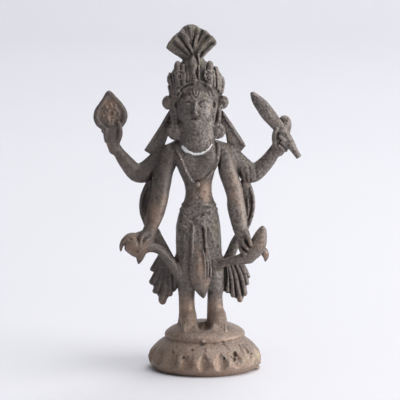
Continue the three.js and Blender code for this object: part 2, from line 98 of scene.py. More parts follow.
def smooth_rows(pts, n, closed=False):
    """Catmull-Rom through the rows, n steps a span."""
    p = np.array(pts, float)
    m = len(p)
    if m == 2 and not closed:
        t = np.linspace(0, 1, n + 1)[:, None]
        return p[0] * (1 - t) + p[1] * t
    out = []
    for i in range(m if closed else m - 1):
        if closed:
            a, b, c, d = (p[(i + k) % m] for k in (-1, 0, 1, 2))
        else:
            a, b, c, d = p[max(i - 1, 0)], p[i], p[i + 1], p[min(i + 2, m - 1)]
        for j in range(n):
            u = j / n
            out.append(0.5 * (2 * b + (c - a) * u + (2 * a - 5 * b + 4 * c - d) * u * u + (3 * b - a - 3 * c + d) * u**3))
    if not closed:
        out.append(p[-1])
    return np.array(out)


class Limb:
    """A chain of tapered segments with an oval section: a across, b along ref."""

    def __init__(self, pts, ref=(0, 1, 0), n=4, closed=False):
        full = [tuple(r) if len(r) == 5 else (*r[:4], r[3]) for r in pts]
        r = smooth_rows(full, n, closed)
        r[:, 3:] = np.maximum(r[:, 3:], 0.05)
        if closed:
            r = np.vstack([r, r[:1]])
        ref = np.array(ref, float)
        self.segs = []
        for p, q in zip(r[:-1], r[1:]):
            d = q[:3] - p[:3]
            length = float(np.linalg.norm(d))
            if length < 1e-5:
                continue
            t = d / length
            back = ref - t * (ref @ t)
            norm = np.linalg.norm(back)
            back = back / norm if norm > 1e-4 else np.array([0.0, 0.0, 1.0])
            side = np.cross(back, t)
            big = max(p[3], p[4], q[3], q[4])
            lo, hi = np.minimum(p[:3], q[:3]) - big, np.maximum(p[:3], q[:3]) + big
            is_round = abs(p[3] - p[4]) < 0.02 and abs(q[3] - q[4]) < 0.02
            self.segs.append((lo, hi, p.astype(F), q.astype(F), d.astype(F), F(length * length), side.astype(F), back.astype(F), t.astype(F), is_round))
        self.lo = np.min([s[0] for s in self.segs], 0)
        self.hi = np.max([s[1] for s in self.segs], 0)

    def at(self, x, y, z, lo, hi, margin):
        best = None
        for slo, shi, p, q, d, l2, side, back, t, is_round in self.segs:
            if lo is not None and ((slo - margin > hi).any() or (shi + margin < lo).any()):
                continue
            X, Y, Z = x - p[0], y - p[1], z - p[2]
            h = np.clip((X * d[0] + Y * d[1] + Z * d[2]) / l2, 0, 1)
            X = X - h * d[0]
            Y = Y - h * d[1]
            Z = Z - h * d[2]
            if is_round:
                v = np.sqrt(X * X + Y * Y + Z * Z) - (p[3] + h * (q[3] - p[3]))
            else:
                a = p[3] + h * (q[3] - p[3])
                b = p[4] + h * (q[4] - p[4])
                c = np.minimum(a, b)
                ua = (X * side[0] + Y * side[1] + Z * side[2]) / a
                vb = (X * back[0] + Y * back[1] + Z * back[2]) / b
                wc = (X * t[0] + Y * t[1] + Z * t[2]) / c
                k0 = np.sqrt(ua * ua + vb * vb + wc * wc)
                ua /= a
                vb /= b
                wc /= c
                k1 = np.sqrt(ua * ua + vb * vb + wc * wc) + F(1e-6)
                v = k0 * (k0 - 1) / k1
                # near the axis the estimate is loose; keep it finite
                v = np.maximum(v, -c)
            best = v if best is None else np.minimum(best, v)
        return best


def turn(ax=0.0, ay=0.0, az=0.0):
    m = Matrix.Rotation(math.radians(az), 3, "Z") @ Matrix.Rotation(math.radians(ay), 3, "Y") @ Matrix.Rotation(math.radians(ax), 3, "X")
    return np.array(m, float)


class Ball:
    """An ellipsoid, optionally turned."""

    def __init__(self, c, r, rot=None):
        self.c = np.array(c, float)
        self.r = np.array(r if hasattr(r, "__len__") else (r, r, r), float)
        self.m = None if rot is None else rot
        ext = self.r if rot is None else np.sqrt(((rot * self.r) ** 2).sum(1))
        self.lo, self.hi = self.c - ext, self.c + ext

    def at(self, x, y, z, lo, hi, margin):
        X, Y, Z = x - F(self.c[0]), y - F(self.c[1]), z - F(self.c[2])
        if self.m is not None:
            m = self.m.astype(F)
            X, Y, Z = (X * m[0, i] + Y * m[1, i] + Z * m[2, i] for i in range(3))
        r = self.r.astype(F)
        if abs(r[0] - r[1]) < 1e-3 and abs(r[0] - r[2]) < 1e-3:
            return np.sqrt(X * X + Y * Y + Z * Z) - r[0]
        X, Y, Z = X / r[0], Y / r[1], Z / r[2]
        k0 = np.sqrt(X * X + Y * Y + Z * Z)
        X /= r[0]
        Y /= r[1]
        Z /= r[2]
        k1 = np.sqrt(X * X + Y * Y + Z * Z) + F(1e-6)
        return np.maximum(k0 * (k0 - 1) / k1, -r.min())


class Outline:
    """Signed distance to a closed outline in a plane, looked up from a table."""

    def __init__(self, pts, pad=4.0, step=0.1, smooth=0):
        p = smooth_rows(pts, smooth, True) if smooth else np.array(pts, float)
        self.lo, self.hi, self.step = p.min(0) - pad, p.max(0) + pad, step
        n = np.ceil((self.hi - self.lo) / step).astype(int) + 2
        U, V = np.meshgrid(self.lo[0] + np.arange(n[0]) * step, self.lo[1] + np.arange(n[1]) * step, indexing="ij")
        best = np.full(U.shape, 1e9)
        inside = np.zeros(U.shape, bool)
        for a, b in zip(p, np.roll(p, -1, 0)):
            e = b - a
            if e @ e < 1e-12:
                continue
            wu, wv = U - a[0], V - a[1]
            t = np.clip((wu * e[0] + wv * e[1]) / (e @ e), 0, 1)
            best = np.minimum(best, (wu - t * e[0]) ** 2 + (wv - t * e[1]) ** 2)
            cross = (a[1] > V) != (b[1] > V)
            if abs(e[1]) > 1e-12:
                inside ^= cross & (U < a[0] + (V - a[1]) / e[1] * e[0])
        self.t = np.where(inside, -np.sqrt(best), np.sqrt(best)).astype(F)
        self.n = n

    def at(self, u, v):
        fu = np.clip((u - F(self.lo[0])) * F(1 / self.step), 0, F(self.n[0] - 1.001))
        fv = np.clip((v - F(self.lo[1])) * F(1 / self.step), 0, F(self.n[1] - 1.001))
        i, j = fu.astype(np.int32), fv.astype(np.int32)
        fu -= i
        fv -= j
        t = self.t
        return (t[i, j] * (1 - fu) + t[i + 1, j] * fu) * (1 - fv) + (t[i, j + 1] * (1 - fu) + t[i + 1, j + 1] * fu) * fv


class Plate:
    """An outline in the front plane (x, z), with thickness along y; mid and half may vary over it."""

    def __init__(self, pts, mid, half, edge=0.4, smooth=0):
        self.o = Outline(pts, smooth=smooth)
        self.mid, self.half, self.edge = mid, half, F(edge)
        p = np.array(pts, float)
        if callable(mid) or callable(half):
            g = np.meshgrid(np.linspace(p[:, 0].min(), p[:, 0].max(), 25), np.linspace(p[:, 1].min(), p[:, 1].max(), 25))
            gx, gz = g[0].ravel().astype(F), g[1].ravel().astype(F)
            m = mid(gx, gz) if callable(mid) else np.full(gx.shape, mid)
            h = half(gx, gz) if callable(half) else np.full(gx.shape, half)
            y0, y1 = float((m - h).min()), float((m + h).max())
        else:
            y0, y1 = mid - half, mid + half
        self.lo = np.array([p[:, 0].min() - 0.4, y0 - 0.2, p[:, 1].min() - 0.4])
        self.hi = np.array([p[:, 0].max() + 0.4, y1 + 0.2, p[:, 1].max() + 0.4])

    def at(self, x, y, z, lo, hi, margin):
        d2 = self.o.at(x, z) + self.edge
        mid = self.mid(x, z) if callable(self.mid) else F(self.mid)
        half = self.half(x, z) if callable(self.half) else F(self.half)
        dy = np.abs(y - mid) - half + self.edge
        return np.minimum(np.maximum(d2, dy), 0) + np.sqrt(np.maximum(d2, 0) ** 2 + np.maximum(dy, 0) ** 2) - self.edge


class Loft:
    """Oval sections (z, cx, cy, a, b) up an axis."""

    def __init__(self, table, power=2.0):
        r = smooth_rows(sorted(table), 8)
        self.z, self.r, self.p = r[:, 0], r[:, 1:], power
        self.lo = np.array([(r[:, 1] - r[:, 3]).min(), (r[:, 2] - r[:, 4]).min(), r[0, 0]])
        self.hi = np.array([(r[:, 1] + r[:, 3]).max(), (r[:, 2] + r[:, 4]).max(), r[-1, 0]])

    def at(self, x, y, z, lo, hi, margin):
        zc = np.clip(z, self.z[0], self.z[-1])
        cx, cy, a, b = (np.interp(zc, self.z, self.r[:, i]).astype(F) for i in range(4))
        X, Y = np.abs(x - cx) / a, np.abs(y - cy) / b
        if self.p == 2.0:
            k0 = np.sqrt(X * X + Y * Y)
            k1 = np.sqrt((X / a) ** 2 + (Y / b) ** 2) + F(1e-6)
            d = k0 * (k0 - 1) / k1
        else:
            p = self.p
            k0 = (X**p + Y**p + 1e-9) ** (1 / p)
            k1 = np.sqrt((X ** (p - 1) / a) ** 2 + (Y ** (p - 1) / b) ** 2) * k0 ** (1 - p) + F(1e-6)
            d = (k0 - 1) / k1
        d = np.maximum(d, -np.minimum(a, b)) * F(0.92)
        q = np.maximum(F(self.z[0]) - z, z - F(self.z[-1]))
        return np.where(q > 0, np.sqrt(np.maximum(d, 0) ** 2 + q * q), np.maximum(d, q)).astype(F)


class Half:
    """The side of a plane that n points to is filled, within a box."""

    def __init__(self, p, n, lo, hi):
        self.p, self.nrm = np.array(p, float), np.array(n, float) / np.linalg.norm(n)
        self.lo, self.hi = np.array(lo, float), np.array(hi, float)

    def at(self, x, y, z, lo, hi, margin):
        n, p = self.nrm.astype(F), self.p.astype(F)
        d = -((x - p[0]) * n[0] + (y - p[1]) * n[1] + (z - p[2]) * n[2])
        q = np.maximum.reduce([F(self.lo[0]) - x, x - F(self.hi[0]), F(self.lo[1]) - y, y - F(self.hi[1]), F(self.lo[2]) - z, z - F(self.hi[2])])
        return np.maximum(d, q)


class Group:
    """Shapes joined and cut in order, each with its own softness k in mm."""

    def __init__(self, k=0.5):
        self.k, self.ops = k, []
        self.lo, self.hi = np.full(3, 1e9), np.full(3, -1e9)

    def add(self, *shapes, k=None):
        for s in shapes:
            self.ops.append((True, s, self.k if k is None else k))
            self.lo, self.hi = np.minimum(self.lo, s.lo), np.maximum(self.hi, s.hi)
        return self

    def cut(self, *shapes, k=0.25):
        for s in shapes:
            self.ops.append((False, s, k))
        return self

    def at(self, x, y, z, lo=None, hi=None, margin=1.4):
        d = np.full(x.shape, 9.0, F)
        for join, s, k in self.ops:
            m = margin + k if join else k
            if lo is not None and ((s.lo - m > hi).any() or (s.hi + m < lo).any()):
                continue
            v = s.at(x, y, z, lo, hi, m)
            if v is None:
                continue
            d = smin(d, v, k) if join else -smin(-d, v, k)
        return d


def hit(body, u, v, y0=-16.0, y1=8.0):
    """Where the reference view's ray at (u, v) first meets the body, or None."""
    ys = np.linspace(y0, y1, 241)
    p = np.array([S(u, v, y) for y in ys], F)
    d = body.at(p[:, 0], p[:, 1], p[:, 2])
    inside = np.nonzero(d < 0)[0]
    if len(inside) == 0:
        return None
    i = inside[0]
    if i == 0:
        return tuple(p[0])
    t = d[i - 1] / (d[i - 1] - d[i])
    return S(u, v, float(ys[i - 1] + t * (ys[i] - ys[i - 1])))


def stroke(body, pts, r, lift=0.0, n=3, closed=False, flat=1.0):
    """A round line of radius r mm that follows the body's surface through (u, v[, r]) points; lift moves it outward (-y)."""
    full = [(p[0], p[1], p[2] if len(p) > 2 else r) for p in pts]
    path = smooth_rows(full, 4, closed)
    out, last = [], None
    for u, v, rad in path:
        h = hit(body, u, v)
        if h is None:
            if last is None:
                continue
            h = S(u, v, last)
        last = h[1]
        out.append((h[0], h[1] - lift, h[2], rad, rad * flat))
    if len(out) < 2:
        raise ValueError("stroke misses the body at %r" % (pts[0],))
    if closed:
        out.append(out[0])
    return Limb(out, n=1)


def ring(c, axis, a, b, r, ref=(0, 1, 0), n=20, flat=1.0):
    """A band round a limb: centre, axis, half width, half depth, line radius."""
    t = np.array(axis, float) / np.linalg.norm(axis)
    ref = np.array(ref, float)
    back = ref - t * (ref @ t)
    back /= np.linalg.norm(back)
    side = np.cross(back, t)
    pts = []
    for i in range(n):
        f = 2 * math.pi * i / n
        p = np.array(c) + side * a * math.cos(f) + back * b * math.sin(f)
        pts.append((*p, r, r * flat))
    return Limb(pts, ref=tuple(t), n=1, closed=True)


# ------------------------------------------------------------------ plinth
# petal hollows: direction (degrees from the front, + to the viewer's right), half width, height, half height, depth
HOLLOWS = [
    (-1.5, 2.0, 5.2, 3.3, 0.75), (-19.5, 2.1, 4.9, 2.9, 0.6), (-37.0, 2.5, 5.3, 3.0, 0.55), (-55.5, 2.2, 5.3, 2.8, 0.65),
    (-74.0, 2.4, 5.4, 2.9, 0.6), (17.0, 2.3, 5.2, 3.3, 0.95), (35.5, 1.9, 5.7, 3.0, 0.85), (53.5, 2.2, 6.0, 3.1, 0.8),
    (73.0, 2.3, 5.6, 2.9, 0.7), (92.5, 2.3, 5.3, 2.9, 0.65), (112.0, 2.3, 5.2, 2.9, 0.65), (132.0, 2.3, 5.3, 2.9, 0.6),
    (152.0, 2.4, 5.2, 2.9, 0.65), (172.0, 2.3, 5.2, 2.9, 0.6), (192.0, 2.3, 5.3, 2.9, 0.65), (212.0, 2.4, 5.2, 2.9, 0.6),
    (231.0, 2.3, 5.3, 2.9, 0.65), (249.5, 2.2, 5.3, 2.9, 0.6), (267.5, 2.2, 5.4, 2.9, 0.6),
]
PLINTH_X = 0.45  # the figure stands a little left of the plinth's middle


class Plinth:
    """A turned lotus base with petal hollows pressed into its flank."""

    def __init__(self):
        half = [
            (17.1, 0.0), (18.0, 0.7), (18.8, 1.5), (19.22, 2.4), (19.32, 3.4), (19.15, 4.6), (18.75, 5.8), (18.0, 7.1), (17.0, 8.3),
            (15.9, 9.3), (14.75, 10.1), (13.95, 10.6), (13.68, 10.95), (13.82, 11.35), (13.95, 11.9), (13.75, 12.6), (13.1, 13.35),
            (12.0, 14.1), (10.4, 14.85), (8.4, 15.5), (5.5, 16.0), (2.5, 16.15),
        ]
        self.o = Outline([(-r, z) for r, z in reversed(half)] + half, pad=3.0, step=0.08)
        self.lo, self.hi = np.array([-20.2, -20.2, 0.0]), np.array([20.2, 20.2, 16.6])

    def at(self, x, y, z, lo, hi, margin):
        x = x - F(PLINTH_X)
        r = np.sqrt(x * x + y * y)
        phi = np.arctan2(x, -y)
        out = np.zeros(x.shape, F)
        zone = (z > 0.2) & (z < 11.0) & (r > 11)
        if zone.any():
            degs = sorted(h[0] % 360 for h in HOLLOWS)
            for deg, w, zc, h, depth in HOLLOWS:
                a = phi - F(math.radians(deg))
                a = (a + F(math.pi)) % F(2 * math.pi) - F(math.pi)
                s = a * np.minimum(r, 18.2) * F(1.0)
                # the hollow is an upright oval, fading towards its head
                t = np.clip((z - zc) / h, -1, 1.3)
                e2 = (s / (w * (1 - 0.3 * np.clip(t, 0, 1)))) ** 2 + t * t
                bowl = np.clip(1 - e2, 0, 1)
                out -= F(depth) * bowl * bowl * (3 - 2 * bowl) * F(1.1)
                # a low lip round its foot
                out += F(0.16) * np.exp(-(((np.sqrt(e2) - 1.15) / 0.2) ** 2)) * np.clip(0.8 - t, 0, 1)
            for k, d0 in enumerate(degs):
                # swelling petals between the hollows
                d1 = degs[(k + 1) % len(degs)] + (360 if k + 1 == len(degs) else 0)
                a = phi - F(math.radians((d0 + d1) / 2))
                a = (a + F(math.pi)) % F(2 * math.pi) - F(math.pi)
                s = a * np.minimum(r, 18.2)
                out += F(0.42) * np.exp(-((s / 0.75) ** 2) - (((z - 4.9) / 2.4) ** 2))
            # the foot's rolled edge
            out -= F(0.16) * np.exp(-(((z - 1.75) / 0.3) ** 2))
            out = np.where(zone, out, 0)
        # the deck's lip is uneven
        sag = F(0.22) * np.sin(phi * 3 + 0.7) * np.clip((z - 9.4) / 1.6, 0, 1) * np.clip(1 - (z - 12.0) / 4.5, 0, 1)
        return self.o.at(r - out, z + sag) * F(0.85)


plinth = Group(0.6)
plinth.add(Plinth(), k=0)
# a burr on the rim at the viewer's right
plinth.add(Ball((18.0, -4.2, 0.9), (1.5, 1.8, 0.75), turn(0, 0, 12)), k=0.5)
plinth.add(Ball((19.3, -2.9, 2.2), (0.7, 0.9, 0.5)), k=0.4)
# casting pits and tool marks on the flank
for u, v, ru, rv in [(223.9, 358.6, 0.36, 0.42), (234.6, 354.2, 0.42, 1.0), (234.2, 359.4, 0.5, 0.75), (231.6, 357.0, 0.3, 0.4), (183.6, 357.8, 0.36, 0.5), (172.6, 352.0, 0.35, 0.5), (251.2, 353.5, 0.3, 0.4), (192.0, 350.2, 0.3, 0.45)]:
    h = hit(plinth, u, v, -22)
    plinth.cut(Ball((h[0], h[1] + 0.1, h[2]), (ru, 0.6, rv)), k=0.3)
for a, b, r in [((239.4, 344.6), (243.6, 353.2), 0.42), ((243.0, 344.6), (248.0, 352.0), 0.42), ((246.6, 344.4), (250.8, 350.0), 0.34), ((222.0, 342.0), (229.6, 350.5), 0.3)]:
    plinth.cut(stroke(plinth, [a, ((a[0] + b[0]) / 2 + 0.4, (a[1] + b[1]) / 2), b], r, 0.05), k=0.4)
h = hit(plinth, 202.8, 341.6, -22)
plinth.add(Ball((h[0], h[1] - 0.05, h[2]), 0.62), k=0.35)
for u, v, r in [(189.3, 359.4, 0.6), (206.6, 350.4, 0.5), (180.6, 363.4, 0.45), (213.6, 366.6, 0.4), (237.6, 364.0, 0.5)]:
    h = hit(plinth, u, v, -22)
    plinth.add(Ball((h[0], h[1] + 0.12, h[2]), r), k=0.5)
# the bowl between the feet
x, y, z = S(204.3, 327.4, -5.4)
plinth.cut(Ball((x, y, z + 0.7), (2.3, 4.5, 2.1)), k=0.9)

# ------------------------------------------------------------------ legs, feet
legs = Group(0.9)
legs.add(
    Limb(rows((185.2, 262, 11.5, 0.3, 4.4), (185.8, 276, 10.4, 0.2, 4.3), (186.4, 287, 8.9, 0.2, 3.7), (186.7, 297, 8.1, 0.3, 3.1), (187.0, 308, 8.1, 0.4, 2.9), (187.3, 317, 8.7, 0.2, 3.0), (187.3, 323, 9.6, -0.4, 3.2))),
    Limb(rows((213.0, 262, 11.0, 0.3, 4.4), (214.2, 276, 9.6, 0.2, 4.2), (215.2, 287, 8.2, 0.2, 3.6), (214.9, 297, 7.7, 0.3, 3.0), (215.2, 308, 8.2, 0.4, 2.9), (215.7, 315, 8.9, 0.2, 3.0), (216.2, 322, 9.8, -0.4, 3.2))),
    k=0.9,
)
for cu, cv, tips in [
    (189.6, 0.0, [(184.6, 330.6), (187.6, 331.6), (190.6, 331.9), (193.4, 331.4), (195.9, 330.2)]),
    (219.4, -0.6, [(213.4, 330.0), (216.3, 331.6), (219.4, 332.4), (222.5, 332.0), (225.5, 330.6)]),
]:
    legs.add(Limb(rows((cu - 1.4, 316 + cv, 8.2, -1.2, 2.6), (cu - 0.6, 321 + cv, 8.2, -3.8, 2.4), (cu, 325.5 + cv, 7.6, -6.0, 1.8))), k=1.0)
    for u, v in tips:
        w = 1.5
        legs.add(Limb(rows((cu + (u - cu) * 0.72, 319.6 + cv, w, -4.6), (cu + (u - cu) * 0.9, 325.0 + cv, w * 1.1, -7.0), (u, v - 1.2, w * 1.05, -8.6), (u, v, w * 0.85, -9.2)), n=4), k=0.16)
    for (u0, v0), (u1, v1) in zip(tips[:-1], tips[1:]):
        u, v = (u0 + u1) / 2, (v0 + v1) / 2
        legs.cut(Limb(rows((cu + (u - cu) * 0.74, 320.0 + cv, 0.75, -6.8), (cu + (u - cu) * 0.9, 325.5 + cv, 0.8, -9.0), (u, v, 0.9, -10.2)), n=4), k=0.2)

# ------------------------------------------------------------------ torso and skirt
torso = Group(0.8)
torso.add(Loft([
    (80.5, -2.7, 0.5, 5.2, 3.2), (79.0, -2.6, 0.4, 7.6, 3.7), (77.4, -2.5, 0.3, 9.0, 4.0), (75.4, -2.4, 0.2, 9.3, 4.1), (73.0, -2.45, 0.1, 8.4, 4.3),
    (70.5, -2.5, 0.0, 6.7, 4.4), (67.9, -2.2, 0.0, 5.95, 4.2), (65.1, -2.0, -0.1, 4.95, 3.75), (62.6, -1.75, -0.1, 4.6, 3.55), (60.2, -1.6, -0.1, 4.75, 3.6),
    (57.2, -1.55, -0.1, 5.65, 3.95), (53.5, -1.75, -0.1, 6.95, 4.35), (49.0, -1.8, 0.0, 7.6, 4.7), (43.8, -1.65, 0.0, 7.9, 4.85), (38.5, -1.55, 0.1, 7.85, 4.8),
    (33.9, -1.5, 0.2, 7.7, 4.6), (30.4, -1.4, 0.2, 7.2, 4.2), (27.6, -1.2, 0.3, 5.9, 3.6),
], power=2.3), k=0)
torso.cut(Half((0, 0, 27.4), (0, 0, -1), (-11, -7, 24), (9, 7, 29)), k=0.8)
# breasts of the chest, belly, navel
torso.add(Ball((-6.2, -2.6, 73.0), (3.2, 2.1, 2.8)), Ball((1.4, -2.6, 73.0), (3.2, 2.1, 2.8)), k=2.0)
torso.add(Ball((-1.7, -2.0, 59.6), (3.6, 2.3, 3.6)), k=1.6)
torso.cut(Ball((-1.7, -4.55, 60.2), (0.45, 0.6, 0.45)), k=0.4)
# hips and seat behind
torso.add(Ball((-5.4, 2.6, 49.0), (3.9, 3.0, 4.6)), Ball((1.8, 2.6, 49.0), (3.9, 3.0, 4.6)), k=1.6)
# shoulder blades
torso.add(Ball((-6.6, 2.6, 75.0), (2.6, 1.9, 3.4)), Ball((1.6, 2.6, 75.0), (2.6, 1.9, 3.4)), k=1.6)
torso.cut(Limb([(-2.5, 4.6, 78, 0.35), (-2.2, 4.5, 70, 0.45), (-1.8, 4.0, 62, 0.4), (-1.8, 5.2, 55, 0.3)], n=4), k=1.0)
torso.cut(Limb([(-1.8, 6.2, 52, 0.5), (-1.8, 6.3, 48, 0.6), (-1.7, 5.7, 43, 0.4)], n=4), k=0.9)
# belt lines round the hips
for zb, r in [(57.2, 0.42), (55.6, 0.36)]:
    torso.add(ring((-1.65, -0.1, zb), (0, 0.05, 1), 5.35 + (57.6 - zb) * 0.42, 3.85 + (57.6 - zb) * 0.18, r), k=0.9)
# skirt folds: drawn up to the knot in front, and hanging behind
for pts, r in [
    ([(183.6, 214.5), (187.6, 219.6), (192.0, 223.6)], 0.34), ([(179.6, 222), (184.6, 227.6), (189.0, 234)], 0.3),
    ([(199.2, 207.4), (204.6, 204.9), (210.4, 205.4), (214.4, 209.6), (215.4, 213.4)], 0.62), ([(200.6, 212.0), (206.0, 210.4), (211.6, 212.4), (215.6, 218.4)], 0.42),
    ([(201.6, 217.4), (207.0, 217.4), (211.8, 221.6), (215.0, 228.4)], 0.36), ([(205.4, 224.6), (209.4, 228.8), (212.8, 237.0), (214.6, 246.0)], 0.34),
    ([(218.0, 232), (218.6, 244), (217.4, 258)], 0.36), ([(179.0, 232), (178.6, 246), (180.0, 262)], 0.34), ([(184.0, 236), (184.4, 250), (184.2, 268)], 0.3),
    ([(193.4, 206.4), (188.0, 208.4), (184.4, 212.0)], 0.3), ([(213.8, 262), (214.6, 274), (214.4, 286)], 0.4),
]:
    torso.add(stroke(torso, pts, r, -0.05), k=0.6)
for a, b, c in [((-8.4, 2.6, 46), (-6.8, 3.6, 38), (-6.0, 3.0, 31)), ((-3.6, 4.6, 46), (-3.0, 4.4, 38), (-3.2, 3.4, 31)), ((0.6, 4.6, 46), (0.0, 4.4, 38), (0.2, 3.4, 31)), ((5.4, 2.6, 46), (4.2, 3.6, 38), (3.4, 3.0, 31))]:
    torso.add(Limb([(*a, 0.5), (*b, 0.62), (*c, 0.45)], n=4), k=1.0)

# centre sash: a tongue hanging from the knot, a sunk panel above, small folds on its right
sash = Group(0.5)
sash.add(Limb(rows((197.4, 226, 7.4, -3.4, 1.7), (197.8, 240, 9.0, -3.9, 2.0), (199.2, 254, 10.6, -4.1, 2.2), (199.9, 266, 11.6, -4.2, 2.3), (200.2, 276, 10.9, -4.1, 2.2), (201.0, 285, 8.4, -3.8, 1.9), (202.4, 292, 4.6, -3.4, 1.5), (203.4, 297, 1.4, -3.2, 0.9))), k=0)
sash.cut(Limb(rows((197.8, 233, 3.2, -6.4, 1.0), (197.8, 241, 3.8, -7.1, 1.1), (198.4, 249, 3.2, -7.2, 0.9), (198.8, 255, 2.0, -7.3, 0.7))), k=0.6)
sash.add(Limb(rows((200.6, 219.6, 2.4, -4.4, 1.0), (204.4, 226, 2.0, -5.0, 1.0), (205.6, 234, 1.5, -5.4, 0.8), (206.0, 246, 1.5, -5.8, 0.8), (208.4, 256, 1.5, -5.8, 0.8), (210.2, 266, 1.4, -5.5, 0.8), (210.6, 276, 1.1, -5.1, 0.7))), k=0.2)
sash.add(Limb(rows((203.0, 250, 1.0, -6.0, 0.7), (204.8, 260, 1.3, -6.2, 0.75), (205.2, 270, 1.3, -6.0, 0.7), (204.4, 279, 0.8, -5.7, 0.5))), k=0.2)
sash.add(Limb(rows((205.6, 252, 0.9, -6.0, 0.7), (207.4, 261, 1.2, -6.0, 0.7), (208.0, 271, 1.1, -5.7, 0.7), (207.2, 280, 0.7, -5.3, 0.5))), k=0.15)
sash.add(Limb(rows((193.0, 225, 1.8, -4.4, 0.9), (192.4, 236, 1.6, -5.0, 0.9), (192.4, 248, 1.5, -5.4, 0.8), (191.6, 259, 1.2, -5.4, 0.7))), k=0.3)
sash.add(Limb(rows((198.6, 258, 1.0, -6.0, 0.5), (198.4, 270, 1.4, -6.1, 0.5), (199.4, 280, 1.0, -5.6, 0.5))), k=0.8)
x, y, z = S(200.4, 222.6, -4.6)
sash.add(Ball((x, y, z), (1.9, 1.1, 1.5)), k=0.7)
x, y, z = S(203.4, 218.0, -4.5)
sash.add(Ball((x, y, z), (1.2, 0.9, 1.0)), k=0.4)
x, y, z = S(197.0, 218.6, -4.3)
sash.add(Ball((x, y, z), (1.3, 0.9, 0.9)), k=0.5)

# deep lines either side of the sash
torso.cut(Limb(rows((189.4, 228, 1.2, -5.2, 0.7), (188.8, 238, 1.7, -5.6, 1.0), (188.4, 252, 1.5, -5.8, 1.0), (187.4, 264, 1.0, -5.7, 0.8)), n=4), k=0.5)
torso.cut(Limb(rows((208.2, 241, 0.9, -5.6, 0.8), (211.0, 253, 1.4, -5.5, 1.0), (212.6, 268, 1.3, -5.2, 1.0), (212.4, 280, 1.4, -4.8, 1.0), (210.6, 291, 1.4, -4.0, 1.0)), n=4), k=0.4)

# ------------------------------------------------------------------ neck mass, collar, necklace
chest = Group(0.6)
x, y, z = S(196.6, 130.6, -1.9)
chest.add(Ball((x, y, z), (6.75, 3.7, 8.0)), k=0)
x, y, z = S(196.8, 140.0, -3.4)
chest.add(Ball((x, y, z), (5.6, 2.7, 4.6)), k=1.0)

# ------------------------------------------------------------------ arms
arm_fl = Group(0.7)
arm_fl.add(Limb(rows((170.0, 154.5, 10.2, 0.4, 3.5), (167.2, 161, 10.2, 0.1, 3.4), (163.9, 170, 9.7, -0.5, 3.3), (162.0, 180, 9.6, -1.0, 3.2), (160.7, 188.5, 9.3, -1.7, 3.1)), n=4), k=0)
arm_fl.add(Limb(rows((160.4, 192.5, 8.9, -2.0, 3.0), (159.3, 199, 8.9, -2.7, 3.0), (156.7, 209, 8.9, -3.7, 2.9), (154.0, 218, 8.2, -4.7, 2.6), (151.0, 227, 6.9, -5.6, 2.3), (148.2, 234, 6.2, -6.1, 2.0)), n=4), k=0.25)
arm_fr = Group(0.7)
arm_fr.add(Limb(rows((223.8, 155.5, 9.4, 0.4, 3.5), (226.4, 163, 9.3, 0.0, 3.4), (228.2, 172, 9.3, -0.5, 3.3), (231.0, 181, 9.0, -1.0, 3.2), (233.6, 189, 8.8, -1.7, 3.1), (235.2, 197, 8.4, -2.4, 3.0), (236.2, 206, 9.0, -3.3, 2.9), (238.3, 218, 8.6, -4.5, 2.6), (240.4, 229, 7.2, -5.6, 2.3), (242.8, 236, 6.4, -6.1, 2.0)), n=4), k=0)
arm_rl = Group(0.7)
arm_rl.add(Limb([(-8.6, 1.4, 76.4, 3.0, 2.9), (-11.6, 1.7, 74.9, 3.1, 2.9), (-14.8, 1.9, 73.1, 3.2, 2.9), (-19.2, 1.8, 69.4, 3.2, 2.8), (-21.4, 1.7, 68.0, 3.2, 2.8)], n=4), k=0)
arm_rl.add(Limb([(-20.4, 1.7, 67.9, 3.3, 2.8), (-23.3, 1.4, 68.0, 3.05, 2.6), (-27.0, 0.7, 72.2, 2.45, 2.3), (-29.4, 0.4, 75.6, 1.95, 1.9), (-31.0, 0.2, 78.4, 1.7, 1.7)], n=4), k=0.9)
arm_rr = Group(0.7)
arm_rr.add(Limb([(4.4, 1.4, 76.4, 3.0, 2.9), (7.2, 1.7, 75.2, 3.1, 2.9), (10.0, 1.9, 73.4, 3.2, 2.9), (14.0, 1.8, 69.8, 3.2, 2.8), (15.8, 1.7, 68.2, 3.2, 2.8)], n=4), k=0)
arm_rr.add(Limb([(15.2, 1.7, 67.9, 3.3, 2.8), (17.5, 1.4, 67.8, 3.05, 2.6), (21.6, 0.9, 71.6, 2.55, 2.3), (24.2, 0.8, 75.2, 2.15, 2.0), (26.0, 0.7, 77.8, 1.95, 1.8)], n=4), k=0.9)
# sleeve creases at the viewer's right elbow
for u, v0, v1 in [(249.6, 166, 186), (256.2, 166, 186.5)]:
    arm_rr.cut(stroke(arm_rr, [(u - 0.8, v0), (u + 0.3, (v0 + v1) / 2), (u, v1)], 0.42, 0.1), k=0.4)
arm_rr.cut(stroke(arm_rr, [(244.6, 174), (245.4, 180), (246.8, 186)], 0.55, 0.1), k=0.6)

